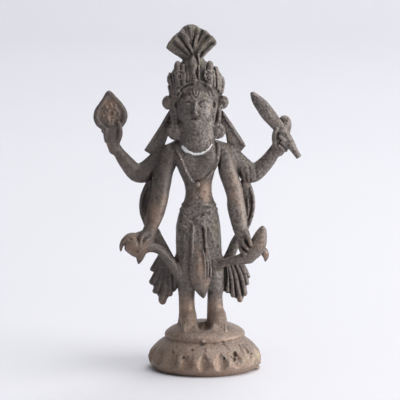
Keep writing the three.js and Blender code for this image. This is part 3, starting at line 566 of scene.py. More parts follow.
# ------------------------------------------------------------------ raised hand with the drop emblem (viewer's left)
emblem = Group(0.35)
DROP = [(109.0, 90.2), (111.6, 92.2), (114.8, 95.8), (120.7, 101.6), (124.8, 107.4), (126.9, 111.5), (127.7, 116.5), (126.4, 121.5), (123.2, 126.5), (118.2, 129.8), (112.4, 131.6), (106.6, 131.4), (101.4, 129.4), (96.8, 125.6), (94.2, 121.0), (93.4, 116.6), (94.9, 110.2), (98.6, 104.6), (102.0, 99.8), (105.6, 94.4), (107.6, 91.2)]
EM_Y = -1.6
drop = [(S(u, v, EM_Y)[0], S(u, v, EM_Y)[2]) for u, v in DROP]
emblem.add(Plate(drop, EM_Y, 1.05, edge=0.8), k=0)
mid = np.mean(drop, 0)
inset = [(mid[0] + (a - mid[0]) * 0.83, mid[1] + (b - mid[1]) * 0.86) for a, b in drop]
emblem.add(Limb([(a, EM_Y - 0.75, b, 0.95, 0.7) for a, b in inset], n=2, closed=True), k=0.5)
emblem.cut(Limb([(mid[0] + (a - mid[0]) * 0.66, EM_Y - 1.5, mid[1] + (b - mid[1]) * 0.7, 0.4) for a, b in drop], n=2, closed=True), k=0.4)
rng = np.random.default_rng(11)
for k in range(46):  # pebbled field
    a, r = rng.uniform(0, 2 * math.pi), math.sqrt(rng.uniform(0.02, 1))
    px_, pz_ = mid[0] + 3.1 * r * math.cos(a), mid[1] - 0.5 + 3.5 * r * math.sin(a)
    s_ = rng.uniform(0.28, 0.5)
    emblem.add(Ball((px_, EM_Y - 1.05, pz_), (s_, s_, s_)), k=0.25)
x, y, z = S(111.4, 112.6, EM_Y)
emblem.cut(Ball((x, EM_Y - 1.5, z), (0.75, 0.8, 0.6)), k=0.3)
x, y, z = S(110.0, 124.0, EM_Y)
emblem.add(Ball((x, EM_Y - 0.9, z), (1.5, 0.75, 0.75)), k=0.3)

hand_rl = Group(0.5)
hand_rl.add(Limb(rows((114.2, 150, 5.2, 0.2, 1.7), (112.6, 143, 6.2, -0.1, 1.8), (112.0, 136.5, 8.0, -0.5, 2.1), (112.0, 130, 9.2, -0.6, 2.0), (111.6, 122, 7.4, 0.5, 1.2)), n=4), k=0)
x, y, z = S(111.6, 130.5, -1.6)
hand_rl.add(Ball((x, y, z), (2.7, 1.25, 1.6)), k=0.9)
hand_rl.add(Limb(rows((116.6, 144.5, 2.3, -0.8), (119.0, 138.5, 2.6, -1.8), (120.4, 132.5, 2.5, -2.8), (120.0, 126.8, 2.1, -3.1), (118.6, 122.4, 1.7, -3.1)), n=4), k=0.35)
hand_rl.add(Limb(rows((106.4, 141, 2.0, -1.0), (105.4, 135, 2.1, -1.9), (106.2, 129.6, 1.8, -2.9)), n=4), k=0.5)
for k in range(4):
    u = 103.6 + k * 4.6
    hand_rl.add(Limb(rows((u, 131, 2.4, 0.9), (u + 0.2, 122, 2.2, 1.3), (u + 0.5, 115, 1.7, 0.9)), n=3), k=0.25)

# ------------------------------------------------------------------ raised hand with the club (viewer's right)
club = Group(0.3)
club.add(Limb(rows((252.0, 93.0, 1.3, -1.2, 0.6), (253.2, 94.8, 2.9, -1.2, 1.0), (257.0, 100.1, 5.3, -1.3, 1.6), (261.9, 105.8, 6.7, -1.5, 2.0), (267.0, 112.7, 7.2, -1.6, 2.1), (273.2, 120.4, 6.6, -1.7, 1.9), (279.0, 127.4, 5.7, -1.9, 1.7), (285.0, 135.3, 5.2, -2.0, 1.6), (289.4, 142.1, 4.7, -2.1, 1.5), (292.5, 147.2, 4.1, -2.2, 1.35), (295.7, 152.4, 3.3, -2.2, 1.1), (301.0, 160.2, 2.7, -2.3, 0.95)), n=4), k=0)
e0, e1 = np.array(S(297.1, 158.9, -2.3)), np.array(S(301.1, 155.8, -2.3))
ax_ = np.array(S(300.6, 159.8, -2.3)) - np.array(S(289.0, 144.2, -2.1))
club.cut(Half((e0 + e1) / 2, ax_, (28, -6, 66), (40, 3, 80)), k=0.2)
club.add(stroke(club, [(256.5, 96.5), (264, 101.8), (271.5, 109.2), (278, 118.2), (285, 128.0)], 0.3, -0.1), k=0.7)

hand_rr = Group(0.45)
hand_rr.add(Limb(rows((278.6, 151, 6.0, 0.2, 1.9), (279.2, 144, 7.0, -0.4, 2.2), (279.4, 136.5, 7.6, -0.8, 2.2), (280.6, 129, 6.6, -0.4, 2.0)), n=4), k=0)
x, y, z = S(284.4, 125.6, 0.9)
hand_rr.add(Ball((x, y, z), (2.5, 1.7, 3.65)), k=0.6)
for u0, v0, u1, v1 in [(287.5, 118.6, 290.0, 121.6), (289.6, 124.6, 291.2, 127.6), (289.8, 130.6, 290.6, 133.4)]:  # knuckles behind the shaft
    hand_rr.add(Limb(rows((283.0, v0 + 3, 1.8, 1.0), ((u0 + u1) / 2 - 1.6, (v0 + v1) / 2, 2.0, 0.3)), n=3), k=0.3)
hand_rr.add(Limb(rows((277.6, 149, 2.0, -1.8), (275.4, 142.5, 2.2, -2.6), (274.9, 135.5, 2.2, -3.2), (276.6, 129.0, 1.8, -3.5)), n=4), k=0.3)
hand_rr.add(Limb(rows((288.4, 147.6, 1.9, -0.6), (285.6, 145.4, 2.0, -2.2), (281.6, 142.2, 1.9, -3.2)), n=4), k=0.22)
hand_rr.add(Limb(rows((285.6, 150.4, 1.9, -0.6), (282.4, 148.4, 2.0, -2.2), (278.8, 145.4, 1.8, -3.0)), n=4), k=0.22)
hand_rr.add(Limb(rows((285.2, 141.6, 1.8, -3.0), (282.4, 138.6, 1.9, -3.6), (279.2, 136.0, 1.7, -3.6)), n=4), k=0.22)

# ------------------------------------------------------------------ lowered hand with the round fruit (viewer's left)
hand_fl = Group(0.5)
hand_fl.add(Limb(rows((149.4, 231, 6.2, -5.9, 2.0), (147.4, 238, 7.4, -6.4, 2.2), (144.4, 244.5, 7.8, -6.5, 2.2)), n=4), k=0)
hand_fl.add(Limb(rows((144.6, 234.5, 4.6, -6.6, 1.9), (137.6, 238.5, 6.0, -6.9, 1.9), (131.5, 243.0, 7.0, -7.0, 1.8), (129.6, 247.5, 5.0, -7.0, 1.5)), n=4), k=0.7)
x, y, z = S(132.6, 244.4, -8.0)
hand_fl.add(Ball((x, y, z), (2.85, 2.5, 2.95)), k=0.3)
# the leaf that cups the fruit on its far side
hand_fl.add(Limb(rows((136.6, 234.8, 2.0, -7.6, 1.0), (130.0, 235.6, 2.6, -8.0, 1.2), (124.8, 239.6, 2.7, -8.2, 1.3), (121.6, 245.2, 2.2, -8.0, 1.2), (120.9, 250.2, 1.2, -7.6, 0.8)), n=4), k=0.18)
x, y, z = S(129.6, 238.9, -10.1)
hand_fl.cut(Ball((x, y, z), (1.0, 0.9, 0.7), turn(0, 20, 0)), k=0.3)
hand_fl.add(Limb(rows((147.0, 233.0, 1.8, -7.6), (142.6, 236.4, 2.2, -8.6), (140.4, 241.4, 2.1, -9.2), (140.0, 246.0, 1.7, -9.2)), n=4), k=0.3)
hand_fl.add(Limb(rows((149.0, 238.0, 2.0, -7.8), (145.6, 241.4, 2.3, -8.6), (142.2, 246.4, 2.2, -8.9), (139.6, 250.4, 1.7, -8.8)), n=4), k=0.22)
hand_fl.add(Limb(rows((148.0, 245.0, 2.0, -7.6), (144.0, 248.4, 2.3, -8.2), (139.6, 252.4, 2.0, -8.3)), n=4), k=0.25)
hand_fl.add(Limb(rows((143.6, 250, 4.4, -6.6, 1.7), (138.0, 252.8, 4.8, -6.7, 1.7), (132.6, 251.8, 3.8, -6.9, 1.4), (127.0, 249.0, 2.4, -7.0, 1.0)), n=4), k=0.5)
hand_fl.add(Limb(rows((141.6, 252, 4.8, -6.8, 1.6), (140.0, 257.5, 3.7, -6.8, 1.35), (138.7, 263.0, 1.1, -6.7, 0.6)), n=4), k=0.4)
hand_fl.cut(stroke(hand_fl, [(139.8, 232.8), (138.0, 237.0), (138.6, 241.4)], 0.24, 0.0), stroke(hand_fl, [(150.6, 232.6), (147.4, 236.0), (145.2, 239.4)], 0.28, 0.1), k=0.35)
strut_l = Limb(rows((146, 247.5, 5.4, -6.3, 1.8), (152.6, 247.4, 4.8, -6.1, 1.7), (159.6, 250.2, 4.5, -5.6, 1.6), (165.8, 255.8, 4.4, -4.9, 1.6), (171.2, 262.6, 4.7, -4.2, 1.6), (175.6, 270, 5.0, -3.4, 1.6), (179.4, 277.6, 4.2, -2.4, 1.5)), n=4)

# ------------------------------------------------------------------ lowered hand with the conch (viewer's right)
hand_fr = Group(0.5)
hand_fr.add(Limb(rows((242.6, 233, 6.4, -6.0, 2.0), (244.4, 240, 6.8, -6.4, 2.1), (246.2, 247, 7.0, -6.4, 2.0), (247.6, 253, 6.6, -6.3, 1.9)), n=4), k=0)
hand_fr.add(Limb(rows((263.0, 226.6, 1.0, -8.6, 0.6), (262.4, 230.2, 3.8, -8.5, 1.5), (260.8, 236.0, 6.3, -8.3, 2.3), (258.6, 242.6, 7.9, -8.1, 2.8), (255.0, 249.0, 8.4, -7.8, 2.9), (249.6, 254.6, 7.6, -7.3, 2.6), (243.6, 258.2, 5.9, -6.9, 2.1), (238.0, 259.8, 4.8, -6.5, 1.8)), n=5), k=0.3)
hand_fr.add(Limb(rows((244.0, 231.0, 2.2, -7.4), (247.0, 235.4, 2.4, -8.6), (249.6, 240.0, 2.3, -9.8), (250.6, 245.0, 1.8, -10.2)), n=4), k=0.25)
hand_fr.add(Limb(rows((241.8, 239.4, 2.1, -7.6), (243.8, 244.4, 2.3, -8.9), (247.2, 248.6, 2.0, -9.8)), n=4), k=0.22)
hand_fr.add(Limb(rows((240.2, 246.0, 2.0, -7.2), (241.6, 250.6, 2.2, -8.4), (245.0, 253.6, 1.9, -9.2)), n=4), k=0.22)
x, y, z = S(244.6, 253.4, -8.9)
hand_fr.add(Ball((x, y, z), (0.9, 0.6, 0.7)), k=0.2)
hand_fr.add(Limb(rows((258.6, 249.4, 4.0, -6.2, 1.5), (263.4, 251.2, 4.2, -6.2, 1.5), (265.8, 255.6, 3.1, -6.2, 1.2), (265.4, 260.8, 1.0, -6.1, 0.6)), n=4), k=0.25)
strut_r = Limb(rows((250, 258.8, 4.6, -6.5, 1.7), (241, 259.8, 4.2, -6.3, 1.5), (232, 260.4, 4.1, -5.6, 1.45), (225, 262.2, 3.9, -4.6, 1.4), (218.4, 266.6, 4.2, -3.2, 1.4)), n=4)

# ------------------------------------------------------------------ scarf: elbow loops, straps, pleated tails
scarf_l = Group(0.4)
scarf_l.add(Limb(rows((150.4, 184, 4.6, 1.8, 1.1), (147.6, 190, 5.0, 2.0, 0.9), (145.0, 197, 5.0, 2.2, 0.8), (144.0, 206, 4.9, 2.2, 0.8), (145.2, 215, 4.6, 2.0, 0.8), (148.6, 225, 4.6, 1.7, 0.8), (153.6, 234, 5.0, 1.4, 0.8), (159.2, 244, 5.4, 1.0, 0.85), (165.2, 254, 5.6, 0.6, 0.9), (170.8, 263, 5.6, 0.2, 1.0), (176.0, 271, 5.0, -0.2, 1.0)), n=4), k=0)
scarf_l.add(Limb(rows((153.6, 182, 6.2, 1.8, 1.2), (151.0, 191, 5.6, 2.0, 1.0), (150.4, 200, 4.6, 2.2, 0.7), (150.6, 210, 3.4, 2.2, 0.6)), n=4), k=0.3)
scarf_l.add(Limb(rows((146.6, 187.6, 1.9, 1.2), (143.2, 194.5, 2.0, 1.2), (141.1, 203.5, 1.9, 1.2), (141.6, 213.0, 1.9, 1.2), (144.6, 222.0, 1.8, 1.1), (149.0, 231.0, 1.6, 0.9)), n=4), k=0.35)
scarf_l.add(Limb(rows((158.0, 229.6, 1.4, 1.2), (162.0, 238.0, 1.4, 1.0), (167.6, 247.6, 1.3, 0.6), (172.6, 257.0, 1.2, 0.2)), n=4), k=0.4)
scarf_r = Group(0.4)
scarf_r.add(Limb(rows((246.0, 184, 4.6, 1.8, 1.1), (248.6, 191, 4.8, 2.0, 0.9), (249.9, 199, 4.7, 2.2, 0.8), (249.9, 208, 4.6, 2.2, 0.8), (248.0, 218, 4.4, 2.0, 0.8), (244.4, 227, 4.0, 1.7, 0.8), (239.4, 235, 4.4, 1.4, 0.8), (235.6, 242, 4.8, 1.0, 0.85), (232.6, 249, 5.0, 0.6, 0.9), (229.6, 256, 5.2, 0.2, 1.0), (225.4, 264, 5.0, -0.2, 1.0)), n=4), k=0)
scarf_r.add(Limb(rows((243.6, 183, 6.4, 1.8, 1.2), (245.2, 191, 5.6, 2.0, 1.0), (245.4, 201, 4.8, 2.2, 0.7), (244.6, 212, 4.2, 2.2, 0.6), (243.0, 222, 3.2, 2.0, 0.6)), n=4), k=0.3)
scarf_r.add(Limb(rows((250.4, 188.6, 1.7, 1.2), (253.0, 196.6, 1.8, 1.2), (253.4, 208.0, 1.8, 1.2), (250.8, 220.0, 1.7, 1.1), (246.6, 230.4, 1.5, 0.9)), n=4), k=0.3)
scarf_r.add(Limb(rows((247.8, 199.0, 1.1, 1.2), (248.4, 208.0, 1.3, 1.1), (247.2, 218.0, 1.2, 1.0)), n=4), k=0.25)
scarf_r.add(Limb(rows((238.4, 236.4, 1.0, 0.6), (235.6, 243.0, 1.1, 0.4), (233.0, 250.0, 1.1, 0.1), (231.4, 256.6, 1.1, -0.2)), n=4), k=0.2)

tail_l = Group(0.3)
web = [(159.6, 253), (158.2, 261), (155.0, 267), (153.4, 276), (152.6, 284), (156, 292), (160, 299), (166.0, 300), (171.0, 293.6), (176.8, 289), (180, 276), (172, 260)]
tail_l.add(Plate([(S(u, v, 1.9)[0], S(u, v, 1.9)[2]) for u, v in web], 1.9, 0.75, edge=0.5, smooth=3), k=0)
for pts in [
    ((161.2, 254, 2.2), (158.0, 261, 3.2), (153.4, 268.6, 3.0)),
    ((163.0, 256, 2.4), (158.6, 269, 3.2), (152.8, 281.6, 3.6)),
    ((165.6, 258, 2.4), (160.8, 275, 3.4), (156.2, 290.6, 3.4)),
    ((168.2, 261, 2.4), (165.0, 280, 3.8), (162.6, 299.4, 4.4)),
    ((171.0, 265, 2.4), (170.4, 279, 3.2), (169.4, 293.2, 3.4)),
    ((174.6, 268, 2.6), (175.4, 278, 2.8), (175.2, 286.6, 2.6)),
]:
    tail_l.add(Limb(rows(*[(u, v, w, 1.0, 0.6 + 0.2 * w) for u, v, w in pts]), n=5), k=0.1)
    tail_l.add(Limb(rows(*[(u, v, w, 2.6, 0.4 + 0.12 * w) for u, v, w in pts]), n=4), k=0.3)
for u, v, r in [(152.6, 269.2, 2.5), (151.6, 281.8, 2.7), (154.6, 291.0, 2.4), (162.6, 301.2, 3.6), (170.2, 293.8, 2.7)]:
    x, y, z = S(u, v, 1.4)
    tail_l.add(Ball((x, y, z), (r * PX, 1.15, r * PX)), k=0.25)
tail_r = Group(0.3)
web = [(223, 261), (232, 261), (241, 261), (245.6, 267), (248, 276), (246.4, 283), (246.4, 291), (243.4, 298.4), (240.4, 301), (233, 296.4), (227.4, 291.4), (222.2, 291.4), (218.4, 276)]
tail_r.add(Plate([(S(u, v, 1.9)[0], S(u, v, 1.9)[2]) for u, v in web], 1.9, 0.75, edge=0.5), k=0)
for pts in [
    ((222.0, 266, 2.4), (222.0, 277, 2.6), (222.4, 289.6, 2.4)),
    ((226.0, 265, 1.8), (227.0, 277, 2.2), (227.6, 290.8, 2.6)),
    ((228.6, 264, 1.8), (231.8, 279, 2.3), (233.0, 295.0, 2.6)),
    ((231.6, 263, 1.9), (236.6, 279, 2.5), (240.0, 299.6, 2.9)),
    ((235.4, 262, 1.9), (241.4, 276, 2.5), (245.0, 293.4, 2.5)),
    ((239.2, 262, 1.9), (244.2, 271, 2.2), (247.4, 283.4, 2.0)),
    ((242.6, 263, 1.5), (246.0, 270, 1.6), (249.0, 276.6, 1.5)),
]:
    tail_r.add(Limb(rows(*[(u, v, w, 0.9, 0.5 + 0.24 * w) for u, v, w in pts]), n=5), k=0.06)
    tail_r.add(Limb(rows(*[(u, v, w, 2.6, 0.4 + 0.12 * w) for u, v, w in pts]), n=4), k=0.3)
tail_r.cut(Limb(rows((225.6, 268, 0.9, 0.2, 1.2), (226.0, 276, 1.5, 0.0, 1.6), (226.0, 284, 0.9, 0.2, 1.2)), n=4), k=0.3)

# ------------------------------------------------------------------ ribbons behind the ears
def band(px, mid, half, edge=0.45):
    return Plate([(S(u, v, 1.8)[0], S(u, v, 1.8)[2]) for u, v in px], mid, half, edge=edge)


ribbons = Group(0.3)
ribbons.add(band([(169.4, 110), (160.2, 125.4), (151, 140.2), (144.3, 150.2), (149.1, 153.4), (152, 155.3), (158, 151.5), (164.4, 145.7), (167.6, 137.0), (171.2, 128), (175, 116)], 1.9, 0.85), k=0)
ribbons.add(band([(222.6, 110), (232.6, 124.6), (242.6, 140), (245.8, 145.7), (239.8, 152.8), (235.2, 159.4), (232.6, 163.6), (229.6, 155.6), (227.6, 145.1), (225.3, 133.5), (219.4, 121), (217, 114)], 1.9, 0.85), k=0)
ribbons.add(Limb(rows((170.6, 113, 1.3, 1.0), (159.4, 130, 1.5, 1.0), (146.6, 149.6, 1.5, 1.0)), n=4), k=0.5)
ribbons.add(Limb(rows((222.6, 113, 1.3, 1.0), (233.4, 130, 1.5, 1.0), (243.6, 145.6, 1.5, 1.0)), n=4), k=0.5)
ribbons.cut(stroke(ribbons, [(221, 124), (226, 136), (231.4, 150), (233.4, 158)], 0.3, 0.1), stroke(ribbons, [(170, 122), (163, 136), (154.6, 148.6)], 0.25, 0.1), k=0.6)

# ------------------------------------------------------------------ head
HX, HY = -2.9, -0.4
head = Group(0.9)
head.add(Ball((HX, HY + 0.6, 92.6), (7.0, 6.6, 9.4)), k=0)
head.add(Ball((HX, HY - 2.4, 90.6), (6.0, 4.4, 8.3)), k=1.6)
head.add(Ball((HX, HY - 3.6, 85.9), (3.7, 2.7, 2.8)), k=1.6)
head.add(Ball((HX, HY - 5.2, 84.2), (1.5, 1.15, 1.1)), k=1.0)
for s in (-1, 1):
    head.add(Ball((HX + s * 3.0, HY - 4.6, 88.7), (2.0, 1.6, 2.1)), k=1.4)
    head.add(Limb([(HX + s * 0.9, HY - 6.3, 94.15, 0.4), (HX + s * 2.6, HY - 6.1, 94.75, 0.45), (HX + s * 4.5, HY - 4.9, 94.0, 0.35)], n=4), k=0.8)
    head.cut(Ball((HX + s * 2.5, HY - 7.1, 92.5), (1.7, 1.15, 1.05), turn(0, 0, 18 * s)), k=0.9)
    head.add(Ball((HX + s * 2.5, HY - 5.55, 92.35), (1.4, 0.95, 0.85), turn(0, 0, 18 * s)), k=0.25)
    head.add(Limb([(HX + s * 1.2, HY - 6.25, 92.25, 0.2), (HX + s * 2.4, HY - 6.5, 93.0, 0.26), (HX + s * 3.9, HY - 5.7, 92.5, 0.2)], n=4), k=0.15)
    head.add(Limb([(HX + s * 1.3, HY - 6.2, 92.1, 0.17), (HX + s * 2.5, HY - 6.3, 91.6, 0.22), (HX + s * 3.8, HY - 5.7, 92.2, 0.17)], n=4), k=0.15)
    head.cut(Limb([(HX + s * 1.5, HY - 6.5, 92.2, 0.14), (HX + s * 2.5, HY - 6.6, 92.2, 0.17), (HX + s * 3.6, HY - 6.05, 92.25, 0.14)], n=3), k=0.15)
    head.add(Ball((HX + s * 0.9, HY - 7.2, 89.1), (0.55, 0.6, 0.48)), k=0.35)
    # ears
    head.add(Limb([(HX + s * 6.4, HY - 0.9, 94.6, 0.75, 1.1), (HX + s * 6.9, HY - 0.6, 92.0, 0.8, 1.35), (HX + s * 6.6, HY - 1.2, 89.0, 0.75, 1.1), (HX + s * 6.2, HY - 1.9, 86.0, 0.65, 0.8)], n=4), k=0.4)
    head.cut(Ball((HX + s * 6.4, HY - 2.4, 92.0), (0.55, 1.1, 1.05)), k=0.35)
head.add(Limb([(HX, HY - 6.3, 94.0, 0.6, 0.5), (HX, HY - 7.2, 91.6, 0.62, 0.7), (HX, HY - 8.0, 89.6, 0.92, 0.8), (HX, HY - 8.0, 89.3, 0.9, 0.7)], n=4), k=0.7)
head.add(Limb([(HX - 1.9, HY - 6.25, 86.8, 0.22), (HX - 0.7, HY - 6.95, 87.1, 0.38), (HX, HY - 7.0, 86.98, 0.33), (HX + 0.7, HY - 6.95, 87.1, 0.38), (HX + 1.9, HY - 6.25, 86.8, 0.22)], n=4), k=0.35)
head.add(Limb([(HX - 1.5, HY - 6.2, 86.35, 0.25), (HX, HY - 6.8, 86.05, 0.48), (HX + 1.5, HY - 6.2, 86.35, 0.25)], n=4), k=0.35)
head.cut(Limb([(HX - 2.0, HY - 6.6, 86.72, 0.13), (HX, HY - 7.5, 86.56, 0.17), (HX + 2.0, HY - 6.6, 86.72, 0.13)], n=4), k=0.2)
head.cut(Ball((HX, HY - 7.2, 88.0), (0.3, 0.5, 0.5)), k=0.3)
# forehead mark: nested U lines
for pts in [
    [(190.8, 87.5), (190.9, 92.5), (192.2, 97.0), (195.2, 99.6), (198.2, 97.0), (199.7, 92.5), (200.2, 87.5)],
    [(193.4, 88.0), (193.4, 92.5), (195.0, 95.8), (196.8, 92.5), (197.0, 88.0)],
]:
    head.add(stroke(head, pts, 0.3, -0.02), k=0.18)

# hair and ears fill the sides of the head
for s in (-1, 1):
    head.add(Limb([(HX + s * 7.0, 0.4, 98.0, 2.0, 2.6), (HX + s * 6.9, 0.4, 93.5, 2.0, 2.6), (HX + s * 6.5, 0.3, 89.0, 1.9, 2.3), (HX + s * 6.2, 0.1, 85.0, 1.7, 2.0)], n=4), k=0.6)
# hair strands behind
for k in range(11):
    a = math.radians(-75 + 15 * k)
    xx, yy = HX + 7.1 * math.sin(a), HY + 0.6 + 6.7 * math.cos(a)
    head.cut(Limb([(HX + 6.6 * math.sin(a), HY + 0.6 + 6.2 * math.cos(a), 96.5, 0.3), (xx, yy, 92.5, 0.35), (HX + 6.1 * math.sin(a), HY + 0.6 + 5.8 * math.cos(a), 87.5, 0.3)], n=4), k=0.4)

# ------------------------------------------------------------------ crown
crown = Group(0.45)
crown.add(Loft([(93.2, -2.75, 0.9, 8.0, 6.0), (95.2, -2.6, 0.8, 9.0, 6.4), (97.6, -2.55, 0.6, 9.35, 6.6), (100.0, -2.55, 0.4, 9.3, 6.6), (102.2, -2.6, 0.4, 8.7, 6.2), (104.2, -2.8, 0.5, 7.3, 5.3), (105.6, -3.0, 0.6, 5.6, 3.9), (107.0, -3.3, 0.5, 3.8, 2.7), (109.0, -3.6, 0.3, 2.8, 1.9)]), k=0)


def leaf(g, pts, k=0.16, n=4):
    g.add(Limb(rows(*pts), n=n), k=k)


leaf(crown, ((178.8, 84, 3.2, -5.0, 1.3), (178.2, 75, 3.9, -4.9, 1.6), (177.7, 67, 3.7, -4.2, 1.6), (177.8, 63.8, 2.9, -3.8, 1.3)))
leaf(crown, ((184.0, 82, 2.5, -6.1, 1.0), (183.6, 74, 2.8, -5.8, 1.2), (183.0, 66.4, 2.4, -4.8, 1.1)), k=0.12)
for a, b, c, w, yy in [((169.8, 73.6), (171.2, 82.0), (174.6, 92.4), 1.6, -2.4), ((173.0, 74.6), (174.6, 83.0), (177.4, 92.0), 1.5, -3.6), ((176.0, 84.6), (178.2, 89.0), (180.4, 93.6), 1.2, -4.8)]:
    leaf(crown, ((*a, w * 0.8, yy + 0.6), (*b, w, yy - 0.1), (*c, w, yy - 0.6)), k=0.08)
leaf(crown, ((169.6, 77.0, 2.4, -1.0, 1.5), (169.4, 81.4, 2.3, -0.9, 1.5), (170.6, 85.0, 1.6, -1.0, 1.2)), k=0.2)
leaf(crown, ((169.2, 86.6, 1.7, -0.6, 1.4), (170.6, 90.6, 2.2, -0.7, 1.5), (172.6, 95.4, 2.2, -1.0, 1.3)), k=0.2)
leaf(crown, ((209.8, 69.0, 3.4, -4.6, 1.3), (209.9, 64.8, 3.5, -4.0, 1.5), (209.9, 63.4, 2.6, -3.8, 1.3)), k=0.14)
leaf(crown, ((209.0, 71.0, 3.4, -5.2, 1.0), (209.2, 78, 4.2, -5.7, 1.2), (209.6, 86, 3.6, -5.6, 1.1)), k=0.14)
leaf(crown, ((215.8, 68.4, 2.3, -3.4, 1.2), (217.0, 76.0, 2.4, -3.6, 1.4), (217.6, 88.0, 2.2, -3.4, 1.2)), k=0.08)
leaf(crown, ((213.4, 71.0, 1.2, -4.6, 0.9), (214.2, 78.0, 1.3, -4.9, 1.0), (214.4, 86.0, 1.2, -5.0, 1.0)), k=0.08)
leaf(crown, ((219.8, 76.0, 1.4, -2.6, 1.2), (220.2, 83.0, 1.5, -2.7, 1.3), (219.8, 91.6, 1.3, -2.6, 1.1)), k=0.08)
leaf(crown, ((221.9, 78.6, 2.4, -1.2, 1.6), (222.4, 84.0, 2.5, -1.3, 1.7), (221.4, 92.0, 2.2, -1.6, 1.4)), k=0.12)
for u, v, r in [(222.4, 80.4, 0.75), (222.6, 85.6, 0.7), (221.6, 90.4, 0.65)]:
    h = hit(crown, u, v)
    crown.add(Ball((h[0], h[1] + 0.2, h[2]), r), k=0.2)
for u, w in [(198.8, 1.3), (202.0, 1.15), (204.8, 0.95)]:
    leaf(crown, ((u, 66.0, w * 0.8, -5.2), (u + 0.2, 71, w, -6.1), (u + 0.3, 78.4, w, -6.7)), k=0.06)
for u, w in [(187.6, 1.4), (190.2, 1.2)]:
    leaf(crown, ((u, 67.5, w * 0.8, -5.4), (u, 73, w, -6.2), (u + 0.2, 80.0, w, -6.7)), k=0.08)
for u, v in [(208.4, 77.8), (179.2, 76.4)]:  # roundels
    circle = [(u + 2.6 * math.cos(t), v + 2.8 * math.sin(t)) for t in np.linspace(0, 2 * math.pi, 9)[:-1]]
    crown.add(stroke(crown, circle, 0.34, 0.05, closed=True), k=0.1)
    h = hit(crown, u, v)
    crown.add(Ball((h[0], h[1] - 0.05, h[2]), 0.42), k=0.12)
crown.add(stroke(crown, [(204.6, 76.4), (205.4, 73.2), (208.2, 71.2), (211.2, 72.2), (213.0, 75.0)], 0.3, 0.08), k=0.1)
crown.add(stroke(crown, [(205.0, 84.0), (208.4, 86.4), (212.4, 84.6)], 0.28, 0.05), k=0.1)
crown.add(stroke(crown, [(175.2, 72.6), (178.2, 70.2), (181.4, 71.6)], 0.3, 0.08), k=0.1)
# knot leaf in front of the crest's neck
leaf(crown, ((193.0, 57.0, 1.4, -2.6, 1.0), (192.8, 61.0, 3.6, -3.9, 1.5), (192.7, 66.0, 5.0, -4.9, 1.8), (192.2, 71.0, 3.9, -5.6, 1.5), (192.4, 75.0, 2.4, -5.9, 1.1)), k=0.2)
leaf(crown, ((198.0, 56.0, 1.1, -1.8, 0.8), (198.8, 60.0, 1.7, -2.6, 1.0), (199.6, 66.0, 1.2, -4.2, 0.9)), k=0.12)
leaf(crown, ((193.4, 73.5, 2.4, -6.0, 0.9), (194.2, 78.5, 3.0, -6.5, 1.0), (194.8, 82.5, 2.2, -6.9, 0.8)), k=0.25)
# leaves round the sides and back
for k in range(9):
    a = math.radians(95 + 21.25 * k)
    sx, sy = math.sin(a), -math.cos(a)
    r0 = 7.2
    top = 104.4 - 0.5 * (k % 2)
    crown.add(Limb([(HX + r0 * 0.97 * sx, 0.5 + r0 * 0.92 * sy, 95.6, 1.15, 0.8), (HX + r0 * 1.02 * sx, 0.5 + r0 * 0.95 * sy, 99.6, 1.35, 0.9), (HX + r0 * 0.9 * sx, 0.5 + r0 * 0.85 * sy, top, 0.75, 0.6)], ref=(sx, sy, 0), n=4), k=0.2)

headall = Group(0.5)
headall.add(head, k=0)
headall.add(crown, k=0.45)
# double-ridged band arching over the brow
headall.add(stroke(headall, [(176.6, 96.5), (177.6, 91.5), (181.6, 86.4), (187.6, 82.6), (194.6, 80.6), (200.6, 80.9), (206.2, 83.2), (210.8, 87.6), (213.6, 94.5)], 0.46, 0.02), k=0.2)
headall.add(stroke(headall, [(179.6, 97.0), (180.6, 93.2), (184.0, 89.2), (189.0, 86.4), (195.0, 84.9), (200.4, 85.3), (205.0, 87.3), (208.8, 91.0), (211.0, 97.0)], 0.4, -0.02), k=0.2)

# ear ornaments
orn = Group(0.25)
for u, v, ru, rv, yy, sgn in [(168.0, 102.5, 6.0, 7.0, -0.8, -1), (223.2, 102.2, 5.3, 6.8, -0.8, 1)]:
    x, y, z = S(u, v, yy)
    orn.add(Ball((x, y, z), (ru * PX, 1.75, rv * PX)), k=0.3)
    orn.add(ring((x, y - 0.9, z), (0, 1, 0), ru * PX * 0.72, rv * PX * 0.72, 0.36, ref=(0, 0, 1)), k=0.3)
x, y, z = S(223.2, 105.6, -2.6)
orn.cut(Ball((x, y, z), (0.6, 0.7, 0.75)), k=0.3)
x, y, z = S(166.4, 102.4, -2.8)
orn.cut(Ball((x, y, z), (0.55, 0.7, 0.6)), k=0.3)
for u, v, r, yy, tilt in [(176.0, 131.4, 9.0, -2.6, 16), (217.2, 130.6, 8.3, -2.6, -16)]:
    x, y, z = S(u, v, yy)
    rm = r * PX
    orn.add(Ball((x, y, z), (rm, 1.5, rm)), k=0.3)
    for j in range(9):
        a = 2 * math.pi * j / 9 + 0.2
        orn.add(Ball((x + rm * 0.68 * math.cos(a), y - 0.85, z + rm * 0.68 * math.sin(a)), (rm * 0.27, 0.55, rm * 0.27)), k=0.14)
    orn.add(Ball((x, y - 1.35, z), (rm * 0.3, 0.55, rm * 0.3)), k=0.14)
# link between upper boss and lower disc
for s, u0, u1 in [(-1, 171.6, 173.8), (1, 219.4, 218.2)]:
    orn.add(Limb(rows((u0, 107, 2.4, -1.4), ((u0 + u1) / 2 + s * 0.5, 115, 2.0, -1.8), (u1, 123.5, 2.4, -2.2)), n=4), k=0.4)

